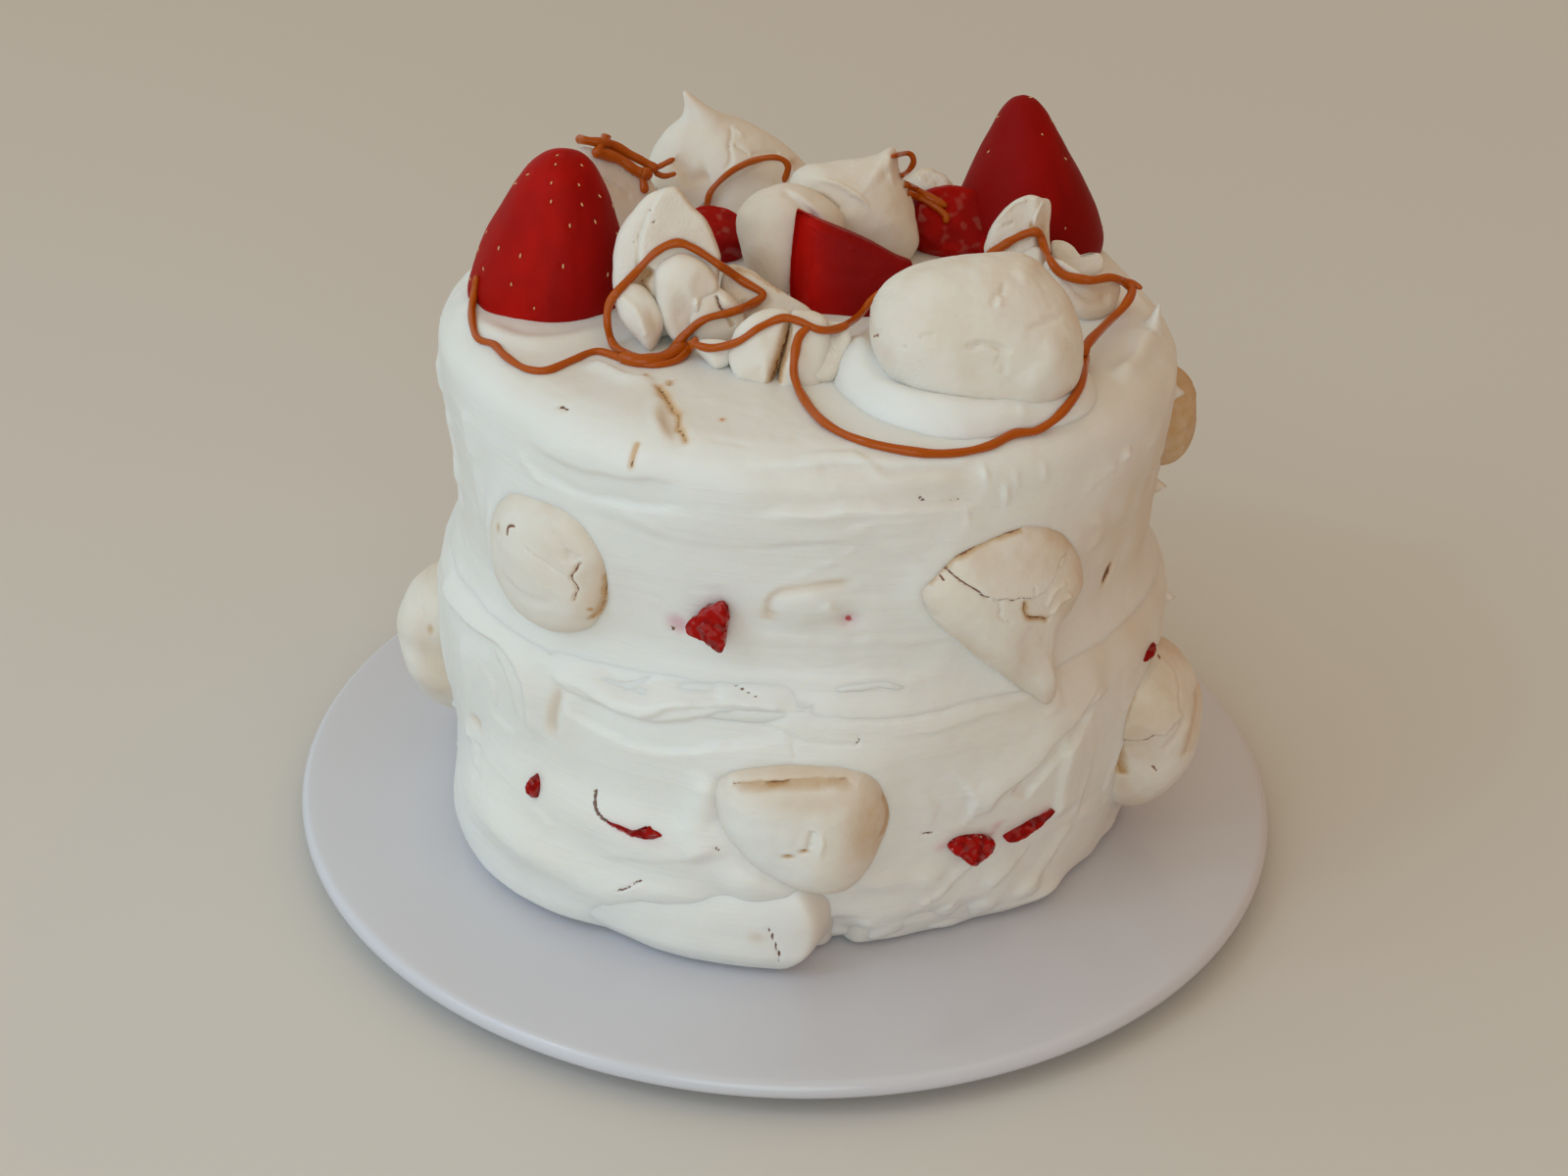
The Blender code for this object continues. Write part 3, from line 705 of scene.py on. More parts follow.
def lowTierWork(coat):
    knifeWork(coat, 21, 44, (20, 90), (-8, 188))
    knifeWork(coat, 22, 4, (26, 86), (-178, -8))
    smallWork(coat, 23, 60, (22, 90), (-4, 200))
    # painted warm light on the lower right flank
    coat.gild(0.45, -27, 98, 22)
    coat.dab((-9, 84), (1.3, 1.3), 3.0)
    # the lip under the waist, and the shadowed hollow below it
    coat.swipe([(-127, 87), (-117, 83.4), (-108, 85), (-99, 89.5), (-91, 91)], 4.8, 1.5, (0.0, 0.15),
               0.7, 0.2)
    coat.lip([(-130, 92), (-125, 89.4), (-121, 87.7), (-117, 87.9), (-113, 89.3), (-110.5, 92), (-108, 94),
              (-103, 96), (-97, 97), (-90, 97)], 1.5, 3.2, 0.9, 0.1)
    coat.swipe([(-124, 95), (-116, 93.4), (-109, 97), (-100, 99)], 2.8, 0.5, (0.1, 0.1), 0.7, 0.2, 0.08)
    for path, wide, deep, dark in (([(-101.5, 102.2), (-99, 100.8), (-95.5, 98.4)], 0.32, 0.5, 0.5),
                                   ([(-127, 89.2), (-123, 89.6), (-119.4, 90.6)], 0.4, 0.35, 0.2),
                                   ([(-122.3, 98.4), (-119.8, 99.3)], 0.35, 0.3, 0.22),
                                   ([(-117.4, 94.8), (-115.2, 95.6), (-112, 99)], 0.35, 0.35, 0.28)):
        coat.groove(path, wide, deep, dark)
    for angle, level in ((-117.6, 100), (-115.7, 94.8), (-113.2, 95), (-117.2, 83.6), (-143, 55.4)):
        coat.dab((angle, level), (0.65, 0.6), -0.3, 0, dark=0.6)
    # broad swoosh down the left, the rib at its end and the groove beside it, tinted beige as painted shade
    # in the crease
    coat.swipe([(-172, 96), (-160, 93), (-148, 96), (-139, 97)], 5.5, -0.6, (0.2, 0.5), 0.7, 0.25)
    coat.lip([(-163, 88.6), (-151, 90), (-144, 91.4), (-139, 91.6), (-135.4, 89.4), (-133, 84),
              (-132.6, 77), (-132.6, 66)], 1.7, 3.6, 0.9, 0.1)
    coat.swipe([(-143, 86), (-139, 78), (-139, 64)], 5.4, 1.0, (0.2, 0.0), 0.8, 0.3)
    coat.groove([(-126.6, 90), (-127.4, 84), (-128, 77), (-128.4, 69)], 1.15, 1.5, 0, 0.36, fade=0.3)
    coat.lip([(-124.6, 88), (-125.6, 80), (-127, 70)], 0.8, 2.6, 1.0, 0.3)
    coat.lip([(-150, 84), (-150.4, 66), (-152, 46)], 1.1, 4.0, 0.8, 0.12)
    coat.lip([(-166, 80), (-166, 60), (-166, 44)], 0.6, 1.2, 3.0, 0.2)
    coat.dab((-148, 56), (2.4, 2.0), -1.5, 0, toast=0.34)
    for at, half, high, turn in (((-146.6, 49.5), (2.2, 1.2), -0.7, 10), ((-144, 43), (2.0, 1.6), -0.8, 10),
                                 ((-150, 50), (1.6, 1.4), 0.8, 0), ((-146, 45.6), (1.8, 1.2), 0.8, 0)):
        coat.dab(at, half, high, turn)
    # red pieces that just show, each in its own torn slot
    coat.dab((-130.3, 54), (2.0, 4.0), -0.9, -14, toast=0.15)
    coat.lip([(-133, 49), (-130, 48.4), (-127, 46.6), (-124.6, 43)], 0.7, 0.6, 2.2, 0.3)
    coat.groove([(-119.4, 62.6), (-119.2, 59.6), (-118.6, 57), (-117.5, 55.5), (-116, 54.9)],
                0.45, 1.0, 0.9, waver=0)
    coat.groove([(-117.4, 55), (-114.6, 54.4), (-112, 53.6), (-108, 55.6)], 0.9, 0.5, 0, 0, 0.75, waver=0.3)
    coat.dab((-112, 54.4), (8, 2.2), 0, -4, blush=0.3)
    coat.groove([(-114.6, 34), (-112.8, 36.2), (-110.6, 40.4)], 0.4, 0.5, 0.6)
    # thicker over the base's lobe, which it covers on the left, and drawn in to the right of it
    for at, half, high, turn, power in (((-117, 45), (58, 15), 5.6, 0, 4),
                                        ((-137, 24), (44, 19), 9.8, 0, 4),
                                        ((-108, 30), (20, 10), 3.4, 0, 4),
                                        ((-93, 40), (12, 6), 2.6, -30, 4), ((-66, 15), (22, 9), -6.0, 0, 3),
                                        ((-82, 17), (9.5, 9), -7.0, 0, 4)):
        coat.dab(at, half, high, turn, power)
    for angle, level, half, high in ((-79, 22, 4.6, 1.8), (-72, 19, 5, 1.4), (-64, 21, 4.4, 1.6),
                                     (-57, 20, 4, 1.4), (-49, 22, 4.6, 1.6)):
        coat.dab((angle, level), (half, 3), high, 6, 3)
    # low crease over the base lobe and the cream lip under the front piece
    coat.lip([(-119, 43), (-112, 46.5), (-106, 49.5), (-100, 52.4)], 0.4, 2.6, 0.8, 0.2)
    coat.lip([(-101, 62), (-98.5, 58), (-94.5, 52.4), (-90.7, 47.8), (-86.5, 43.6), (-82.3, 40)],
             0.9, 1.0, 2.4, 0.15)
    coat.lip([(-101.5, 76), (-103, 66), (-102.6, 56), (-100.6, 49)], 2.4, 4.0, 4.0, 0.2)
    coat.groove([(-100.4, 55.4), (-99.6, 54)], 0.45, 0.5, 0.6)
    coat.groove([(-96, 91), (-92, 90), (-89, 88), (-84, 87.2), (-79, 87.4)], 0.5, 0.4)
    coat.groove([(-90.4, 88), (-90, 82)], 0.5, 0.4)
    coat.groove([(-81.8, 90), (-80.9, 88.4), (-81.6, 86.6)], 0.35, 0.4, 0.5)
    # right of the front: ledges, the long diagonal fold and the smooth upright panel
    coat.swipe([(-88, 98), (-76, 97), (-62, 96), (-48, 96)], 4.2, 0.5, (0.3, 0.3), 0.7, 0.2, 0.06)
    coat.lip([(-86, 102), (-81, 101.4), (-76, 101.6), (-72, 97)], 0.6, 1.4, 0.7, 0.3)
    coat.lip([(-78, 90), (-70, 88.6), (-62, 89.6), (-53, 88)], 0.7, 2.2, 0.8, 0.3)
    coat.swipe([(-38, 84), (-43, 76), (-49, 67), (-54, 57)], 3.6, 1.9, (0.1, 0.0), 0.8, 0.25)
    coat.lip([(-36, 84), (-40, 80.6), (-45, 78), (-48, 76), (-51, 71), (-55, 66), (-59, 62), (-61, 54)],
             2.6, 1.8, 6.5, 0.15)
    coat.swipe([(-36, 82), (-34, 60), (-35, 38)], 8.5, 0.0, (0.3, 0.3), 0.95, 0.1)
    coat.lip([(-44.6, 75), (-45.2, 58), (-44.6, 42)], 1.8, 7.0, 1.1, 0.15)
    coat.swipe([(-70, 74), (-66, 64), (-66, 54)], 5.6, 0.3, (0.3, 0.2), 0.7, 0.3)
    coat.dab((-57, 46), (9, 6), -0.7)
    coat.dab((-61, 44), (5.0, 3.2), -0.7, 10, toast=0.3)
    coat.dab((-51, 45.5), (5.0, 1.8), -0.7, 20, toast=0.3)
    coat.groove([(-70.4, 54), (-68, 53.2)], 0.5, 0.5, 0.62)
    coat.dab((-76, 39), (7, 3.4), 1.5, -6)
    coat.dab((-68.5, 38), (5, 4.4), 1.5, 20)
    for path, high, above, below in (([(-57, 42), (-61, 40), (-65, 35), (-68, 28)], 1.2, 1.0, 2.6),
                                     ([(-50, 40), (-53, 34), (-58, 27)], 1.0, 1.0, 2.6),
                                     ([(-40, 37), (-44, 30), (-50, 22)], 0.9, 0.9, 2.4)):
        coat.lip(path, high, above, below, 0.2)
    coat.dab((-68.4, 29), (1.3, 1.1), 1.0)
    coat.dab((-63.8, 24.4), (1.5, 1.1), 0.9, 40)
    for at in ((-66.8, 48.6), (-60.4, 42), (-58.2, 47.4), (-57.4, 50), (-48.6, 48.4)):
        coat.dab(at, (2.0, 1.5), 0.3, 20, blush=0.55)
    coat.dab((-83.2, 97.6), (0.6, 0.6), -0.3, 0, dark=0.9)
    coat.dab((-52, 36), (3.4, 5), -0.8, 25, toast=0.1)
    for angle in range(-76, 200, 9):  # the coat's foot is scalloped where it meets the plate
        coat.dab((angle + 3 * math.sin(angle), 15 + 2 * math.sin(angle * 2.3)), (6.5, 3.4), 1.5)


# angle, height, half wide, half tall, reach, half deep, tilt, squareness, direction and length of the point
sideKisses = {
    "side_kiss_left": (-131.5, 122.5, 22, 20, 110.5, 14, -14, 2.3, 0, 0),
    "side_kiss_right": (-57.5, 120, 24, 25.5, 113.5, 15, 20, 2.3, -86, 12),
    "side_kiss_front": (-88, 61, 23.5, 21.5, 118, 20, -6, 2.8, 0, 0),
    "side_kiss_low_right": (-17, 50, 21.5, 27.5, 125.5, 23, 15, 2.4, 0, 0),
    "side_kiss_low_left": (-177, 56, 17, 22, 121.5, 20, 0, 2.2, -90, 6),
    "side_kiss_high_right": (3, 133, 16, 14.5, 114.5, 14, 0, 2.2, 0, 0),
    "side_kiss_back_a": (36, 62, 21, 20, 117.5, 19, 15, 2.4, -160, 7),
    "side_kiss_back_b": (63, 121, 21, 19, 112.5, 15, -18, 2.3, 0, 0),
    "side_kiss_back_c": (93, 60, 23, 20, 118, 20, 6, 2.6, 0, 0),
    "side_kiss_back_d": (122, 120, 19, 22, 112.5, 15, 20, 2.2, -70, 9),
    "side_kiss_back_e": (151, 58, 20, 22, 118.5, 20, -10, 2.3, 0, 0),
}


sideOutlines = {  # seen square on, in millimetres across and up from the piece's middle
    "side_kiss_left": [(-3, 20.5), (8.5, 21.5), (17, 18), (22.5, 10), (23.5, 1), (20.5, -9), (13.5, -17),
                       (1, -21.5), (-13, -20), (-22, -13), (-25, -3), (-22, 8.5), (-13.5, 17)],
    "side_kiss_right": [(-28, 15), (-21, 22), (-11.5, 25.5), (-0.5, 27), (10, 22.5), (20, 13.5), (23.5, 4),
                        (21, -3.5), (15.5, -8), (14.5, -16), (15.5, -26), (17, -33.5), (13, -35),
                        (5.5, -27.5), (-7, -16), (-18.5, -5), (-27, 4), (-29.5, 10)],
    "side_kiss_front": [(-26.5, 11), (-22.5, 17), (-11.5, 20.5), (6.5, 21), (18, 16.5), (23.5, 6),
                        (23, -3.5), (19.5, -12.5), (13, -21), (4.5, -23), (-6.5, -18.5), (-17.5, -11),
                        (-24.5, -1)],
}


def reachOf(turn, outline):
    # distance from the middle to a closed listed outline, in each direction
    outline = list(outline)
    ring = softCurve(outline[-2:] + outline + outline[:2], 8)
    return np.interp(turn, np.arctan2(ring[:, 1], ring[:, 0]), np.hypot(ring[:, 0], ring[:, 1]),
                     period=math.tau)


def tuckRound(coat):
    # the cream swells a little where it meets each piece set in it
    for node, (angle, height, wide, tall, reach, deep, tilt, *_) in sideKisses.items():
        bare = coatRadius(np.array([angle]), np.array([float(height)]))[0]
        sunk = max(0.2, min(1, (reach - bare) / deep))
        share = math.sqrt(1 - (1 - sunk) ** 2)
        pick, u, v, flat = coat.reach([(angle, height)], max(wide, tall) + 8)
        du, dv = u - flat[0][0] + coat.wavU[pick], v - flat[0][1] + coat.wavV[pick]
        if node in sideOutlines:
            ring = np.hypot(du, dv) - reachOf(np.arctan2(dv, du), sideOutlines[node]) * 0.97
        else:
            ring = (ovalAway(du, dv, (wide * share, tall * share), tilt) - 1.02) * min(wide, tall)
        coat.out[pick] += 0.7 * bell(ring / np.where(ring > 0, 4.2, 1.8))


def coated(angle, level, points, work):
    # the cream of one tier: an uneven hand, the strokes set for it, the rims of the pieces and a fine grain
    coat = Coat(angle, level, points)
    coat.out += coat.waves((0.9, 38, 5), (0.35, 17, 6))
    work(coat)
    tuckRound(coat)
    coat.out += coat.waves((0.10, 5, 8), (0.05, 2.2, 9))
    return coat


def makeLowTier():
    mesh = uvBall("lowTier", 600, 150)
    angle, share = unwrap(mesh)
    top = np.interp(angle, *zip(*waistLine))
    level = softTable(share, [(0, 12.4), (0.03, 12.4), (0.05, 13.6), (0.94, 97), (0.965, 99.5), (1, 99.5)],
                      0.008, 800)
    level = np.where(level > 60, 60 + (level - 60) * (top - 60) / 37, level)
    inward = softTable(share, [(0, 0), (0.03, 0.93), (0.05, 0.985), (0.08, 1), (0.93, 1), (0.955, 0.985),
                               (0.97, 0.95), (1, 0)], 0.006, 800)
    radius = coatRadius(angle, level) * inward
    coat = coated(angle, level, sidePoint(angle, radius, level), lowTierWork)
    held = tapered(share, 0.04, 0.05)
    setPoints(mesh, sidePoint(angle, radius + coat.out * held * inward, level))
    coat.paintOn(mesh)
    addPiece("lowTierCream", mesh, cream, ["cake_body"])


# the rim in section, as (level, inwards, height), and where it sags, as (angle, half wide, drop)
rimShape = [(90, 0, 90), (rimLevel, 0, 160), (164, -1.2, 163.6), (167, -3.2, 166.2), (171, -6.5, 168.2),
            (176, -11, 169.6), (184, -19, coatTop), (192, -27, coatTop), (270, -105, coatTop)]
rimSags = [(165, 34, 3.4), (18, 36, 3.6)]


def topWork(x, y, rise):
    # swirls and collars on the flat top, in millimetres round the plate's middle
    def mound(at, half, high, turn=0.0, power=2):
        rise[:] += high * hump(ovalAway(x - at[0], y - at[1], half, turn), power)

    def ridge(path, high, left, right, fade=0.2):
        away, share = alongPath(x, y, softCurve(path))
        rise[:] += high * bell(away / np.where(away > 0, left, right)) * tapered(share, fade, fade)

    mound((-74, -8), (26, 20), 1.4, 10, 3)  # collar of cream under the left strawberry
    ridge([(-98, 0), (-92, -22), (-77, -36), (-62, -33), (-50, -20)], 1.7, 4, 4)
    ridge([(-98, 12), (-97, -4), (-90, -18)], 1.5, 4, 4)
    mound((68, 49), (25, 22), 4.0, 0, 3)  # and under the right one
    mound((84, 8), (12, 20), 3.0, 0, 3)
    mound((-26, 62), (30, 20), 3.0, 0, 3)
    mound((10, 20), (30, 26), 2.5, 0, 3)
    ridge([(88, 22), (96, 14), (98, 2)], 2.0, 3, 3)
    mound((97.8, -6), (1.7, 2.1), 12)  # drawn-up peak on the right of the rim
    ridge([(99, -6), (95, -18), (91, -31), (84, -44)], 3.6, 2.0, 3.4)
    ridge([(-57, -46), (-51, -52), (-45, -57), (-38, -57)], 1.3, 1.0, 3.4)


def makeHighTier():
    mesh = uvBall("highTier", 600, 154)
    angle, share = unwrap(mesh)
    # level: up the side to the rim, then on over it; beyond 186 it runs in across the top
    level = softTable(share, [(0, 90), (0.03, 90), (0.55, 160), (0.74, 186), (0.85, 199), (1, 270)],
                      0.006, 1200)
    inward = softTable(level, [(at, off) for at, off, z in rimShape], 2.0, 900)
    height = softTable(level, [(at, z) for at, off, z in rimShape], 2.0, 900)
    radius = coatRadius(angle, np.minimum(level, rimLevel))
    inner = np.maximum(0, (radius + inward) / radius)
    inner *= softTable(share, [(0, 0), (0.02, 0.96), (0.035, 0.985), (0.06, 1), (1, 1)], 0.004, 800)
    inner = np.where(share > 0.999, 0, inner)
    over = soften(158, 182, level)  # nothing on the side, one on the top
    for middle, width, drop in rimSags:
        near = bell(turnOff(angle, middle) / width)
        height -= drop * near * soften(156, 168, level) * np.minimum(1, inner) ** 2
    coat = coated(angle, level, sidePoint(angle, radius * inner, height), highTierWork)
    rise = np.zeros(len(angle))
    topWork(coat.points[:, 0], coat.points[:, 1], rise)
    held = soften(0, 0.04, share)
    tip = over * math.pi / 2
    outward = coat.out * held * np.cos(tip)
    upward = coat.out * np.sin(tip) + rise * over
    setPoints(mesh, sidePoint(angle, np.maximum(0, radius * inner + outward * soften(0, 0.2, inner)),
                              height + upward))
    coat.paintOn(mesh)
    addPiece("highTierCream", mesh, cream, ["cake_body"])


def makeBase():
    # baked base: its lobe swells out under the cream at the front left and ends at a deep notch
    mesh = uvBall("base", 420, 84)
    angle, share = unwrap(mesh)
    turn = np.radians(angle)
    height = softTable(share, [(0, 12.3), (0.12, 12.3), (0.2, 13), (0.86, 44), (0.94, 47), (1, 47)], 0.03)
    inward = softTable(share, [(0, 0), (0.12, 0.93), (0.2, 0.975), (0.35, 1), (0.6, 1), (0.82, 0.99),
                               (0.92, 0.93), (1, 0)], 0.03)
    end = -81.4 - 3.2 * ((height - 29) / 14) ** 2  # rounded nose
    lobe = soften(-168, -134, angle) * (1 - soften(-5.5, 0, angle - end))
    radius = 101.5 + 12.4 * lobe * np.exp(-((height - 27) / 20) ** 4)
    radius = radius + 1.1 * np.sin(4 * turn + 1) + 0.9 * np.sin(7 * turn + height / 9)
    radius -= 5 * bell(turnOff(angle, -81.2) / 1.6)  # the notch
    points = sidePoint(angle, radius * inward, height)
    coat = Coat(angle, height, points)
    out = coat.waves((0.8, 24, 12), (0.25, 8, 13))
    coat.groove([(-116.4, 28), (-114, 31.4), (-112, 38)], 0.4, 0.5, 0.4)
    coat.groove([(-92.8, 32), (-91.5, 24.2), (-90.9, 17.4)], 0.4, 0.5, 0.66)
    # painted shade: a brown tint round the notch where the lobe ends, standing in for the shade in the
    # crevice
    coat.tones["toast"] += 0.22 * bell((angle + 82) / 5) * bell((height - 28) / 12)
    coat.dab((-94, 27), (2.0, 1.8), -0.3, 0, toast=0.3)
    setPoints(mesh, sidePoint(angle, (radius + out + coat.out) * inward, height))
    coat.paintOn(mesh)
    addPiece("meringueBaseCoated", mesh, cream, ["meringue_base"])


makeLowTier()
makeHighTier()
makeBase()
print("cream coat made")


class Lump(Tones):
    # a lump's skin: points of a unit ball pushed out to size, with its own tones
    def __init__(self, name, levels):
        self.mesh = icoBall(name, levels)
        self.ball = readPoints(self.mesh)
        self.turn = np.arctan2(self.ball[:, 1], self.ball[:, 0])
        self.start(len(self.ball), ("toast", "dark", "juice", "porous", "clean"))

    def spread(self, reach, front, back, flat=0.85):
        # flat outline in across and up, rounded towards the front and the back
        z = self.ball[:, 2]
        out = np.sign(z) * np.abs(z) ** flat * np.where(z > 0, front, back)
        self.local = np.column_stack([self.ball[:, 0] * reach, self.ball[:, 1] * reach, out])
        self.flatten = self.local[:, :2]
        self.facing = soften(-0.15, 0.25, z)

    def turnTo(self, points, middle, rise, turn):
        # marks from here on go on the side that looks this way
        self.frame, self.middle = faceFrame(rise, turn), np.array(middle, float)
        self.local = (points - self.middle) @ self.frame.T
        self.flatten = self.local[:, :2].copy()
        away = self.local - self.local.mean(axis=0)
        self.facing = soften(-0.1, 0.3, away[:, 2] / np.linalg.norm(away, axis=1))

    def placed(self):
        # back from the view of turnTo to the cake's own axes
        return self.local @ self.frame + self.middle

    def seated(self, look):
        # the front turned to where the piece looks
        return self.local @ faceFrame(look["rise"], look["turn"]) + np.array(look["middle"])

    def roughen(self, amount, size, seed):
        self.local += self.ball * (amount * wander(self.local, size, seed))[:, None]

    def line(self, path, wide, deep, fade=0.12, **tones):
        # crease or crack (ridge where deep is negative) along a path on the front
        shake = 0.3 * wander(self.local, 3, 31) + 0.22 * wander(self.local, 1.1, 33)
        u, v = self.flatten[:, 0] + shake, self.flatten[:, 1] + 0.35 * wander(self.local, 3, 32)
        away, share = alongPath(u, v, curveOf(path))
        taper = tapered(share, fade, fade) * self.facing
        self.local[:, 2] -= deep * bell(away / wide) * taper
        for tone, amount in tones.items():
            if tone == "toast":
                self.tint(tone, amount * bell(away / (wide * 1.9)) * taper)
            else:
                self.tint(tone, slope(away, max(2.6 * wide, 1.2), amount) * taper ** 0.3)

    def swell(self, at, half, high, turn=0.0, power=2, **tones):
        # round or oval rise on the front (hollow where high is negative)
        away = ovalAway(self.flatten[:, 0] - at[0], self.flatten[:, 1] - at[1], half, turn)
        shape = hump(away, power) * self.facing
        self.local[:, 2] += high * shape
        for tone, amount in tones.items():
            crisp = slope(away, 2.2, amount) * self.facing
            self.tint(tone, amount * shape if tone in ("toast", "clean") else crisp)

    def step(self, path, high, wide=0.35):
        # everything left of a path stands higher
        away = alongPath(self.flatten[:, 0], self.flatten[:, 1], curveOf(path))[0]
        self.local[:, 2] += high * soften(-wide, wide, away) * bell(away / 9) * self.facing

    def shear(self, point, normal, edge=0.4, amount=1.0, seed=1):
        # flat break: what stands past a plane is pressed back to it, and the break is rough
        pressed = cutFlat(self.local, point, normal, edge)
        broken = soften(0.05, 0.8, pressed)
        grain = 0.4 * wander(self.local, 2.6, seed) + 0.22 * wander(self.local, 1.1, seed + 1)
        self.local += np.array(normal, float) / np.linalg.norm(normal) * (broken * grain * amount)[:, None]
        self.tint("porous", broken)

    def mark(self, strokes):
        # each stroke is the name of a method, its values and, last, the tones it leaves
        for kind, *rest in strokes:
            tones = rest.pop() if isinstance(rest[-1], dict) else {}
            getattr(self, kind)(*rest, **tones)

    def finish(self, name, points, nodes, slot="meringue", finish=None):
        setPoints(self.mesh, points)
        self.paintOn(self.mesh)
        addPiece(name, self.mesh, finish or meringue, nodes)


def cutFlat(points, point, normal, edge):
    # presses what stands past a plane back to it, with a slightly rounded edge, and returns how far
    normal = np.array(normal, float) / np.linalg.norm(normal)
    past = (points - np.array(point, float)) @ normal
    pressed = np.where(past > -4 * edge, edge * np.log1p(np.exp(np.minimum(past / edge, 50))), 0)
    points -= pressed[:, None] * normal
    return pressed


def faceFrame(rise, turn):
    # across, up and outward directions of a face that looks along 'turn' and 'rise'
    e, a = math.radians(rise), math.radians(turn)
    out = np.array([math.cos(a) * math.cos(e), math.sin(a) * math.cos(e), math.sin(e)])
    across = np.array([-math.sin(a), math.cos(a), 0])
    return np.array([across, np.cross(out, across), out])


def wordsOf(node):
    # a node's name as a piece's name
    return "".join(word.capitalize() if i else word for i, word in enumerate(node.split("_")))


def seedOf(node):
    # each piece has a grain of its own
    return sum(map(ord, node)) % 50


def squared(turn, square):
    # reach of a rounded square in each direction, fuller at its corners for a higher number
    side = np.abs(np.cos(turn)) ** square + np.abs(np.sin(turn)) ** square
    return side ** (-1 / square)


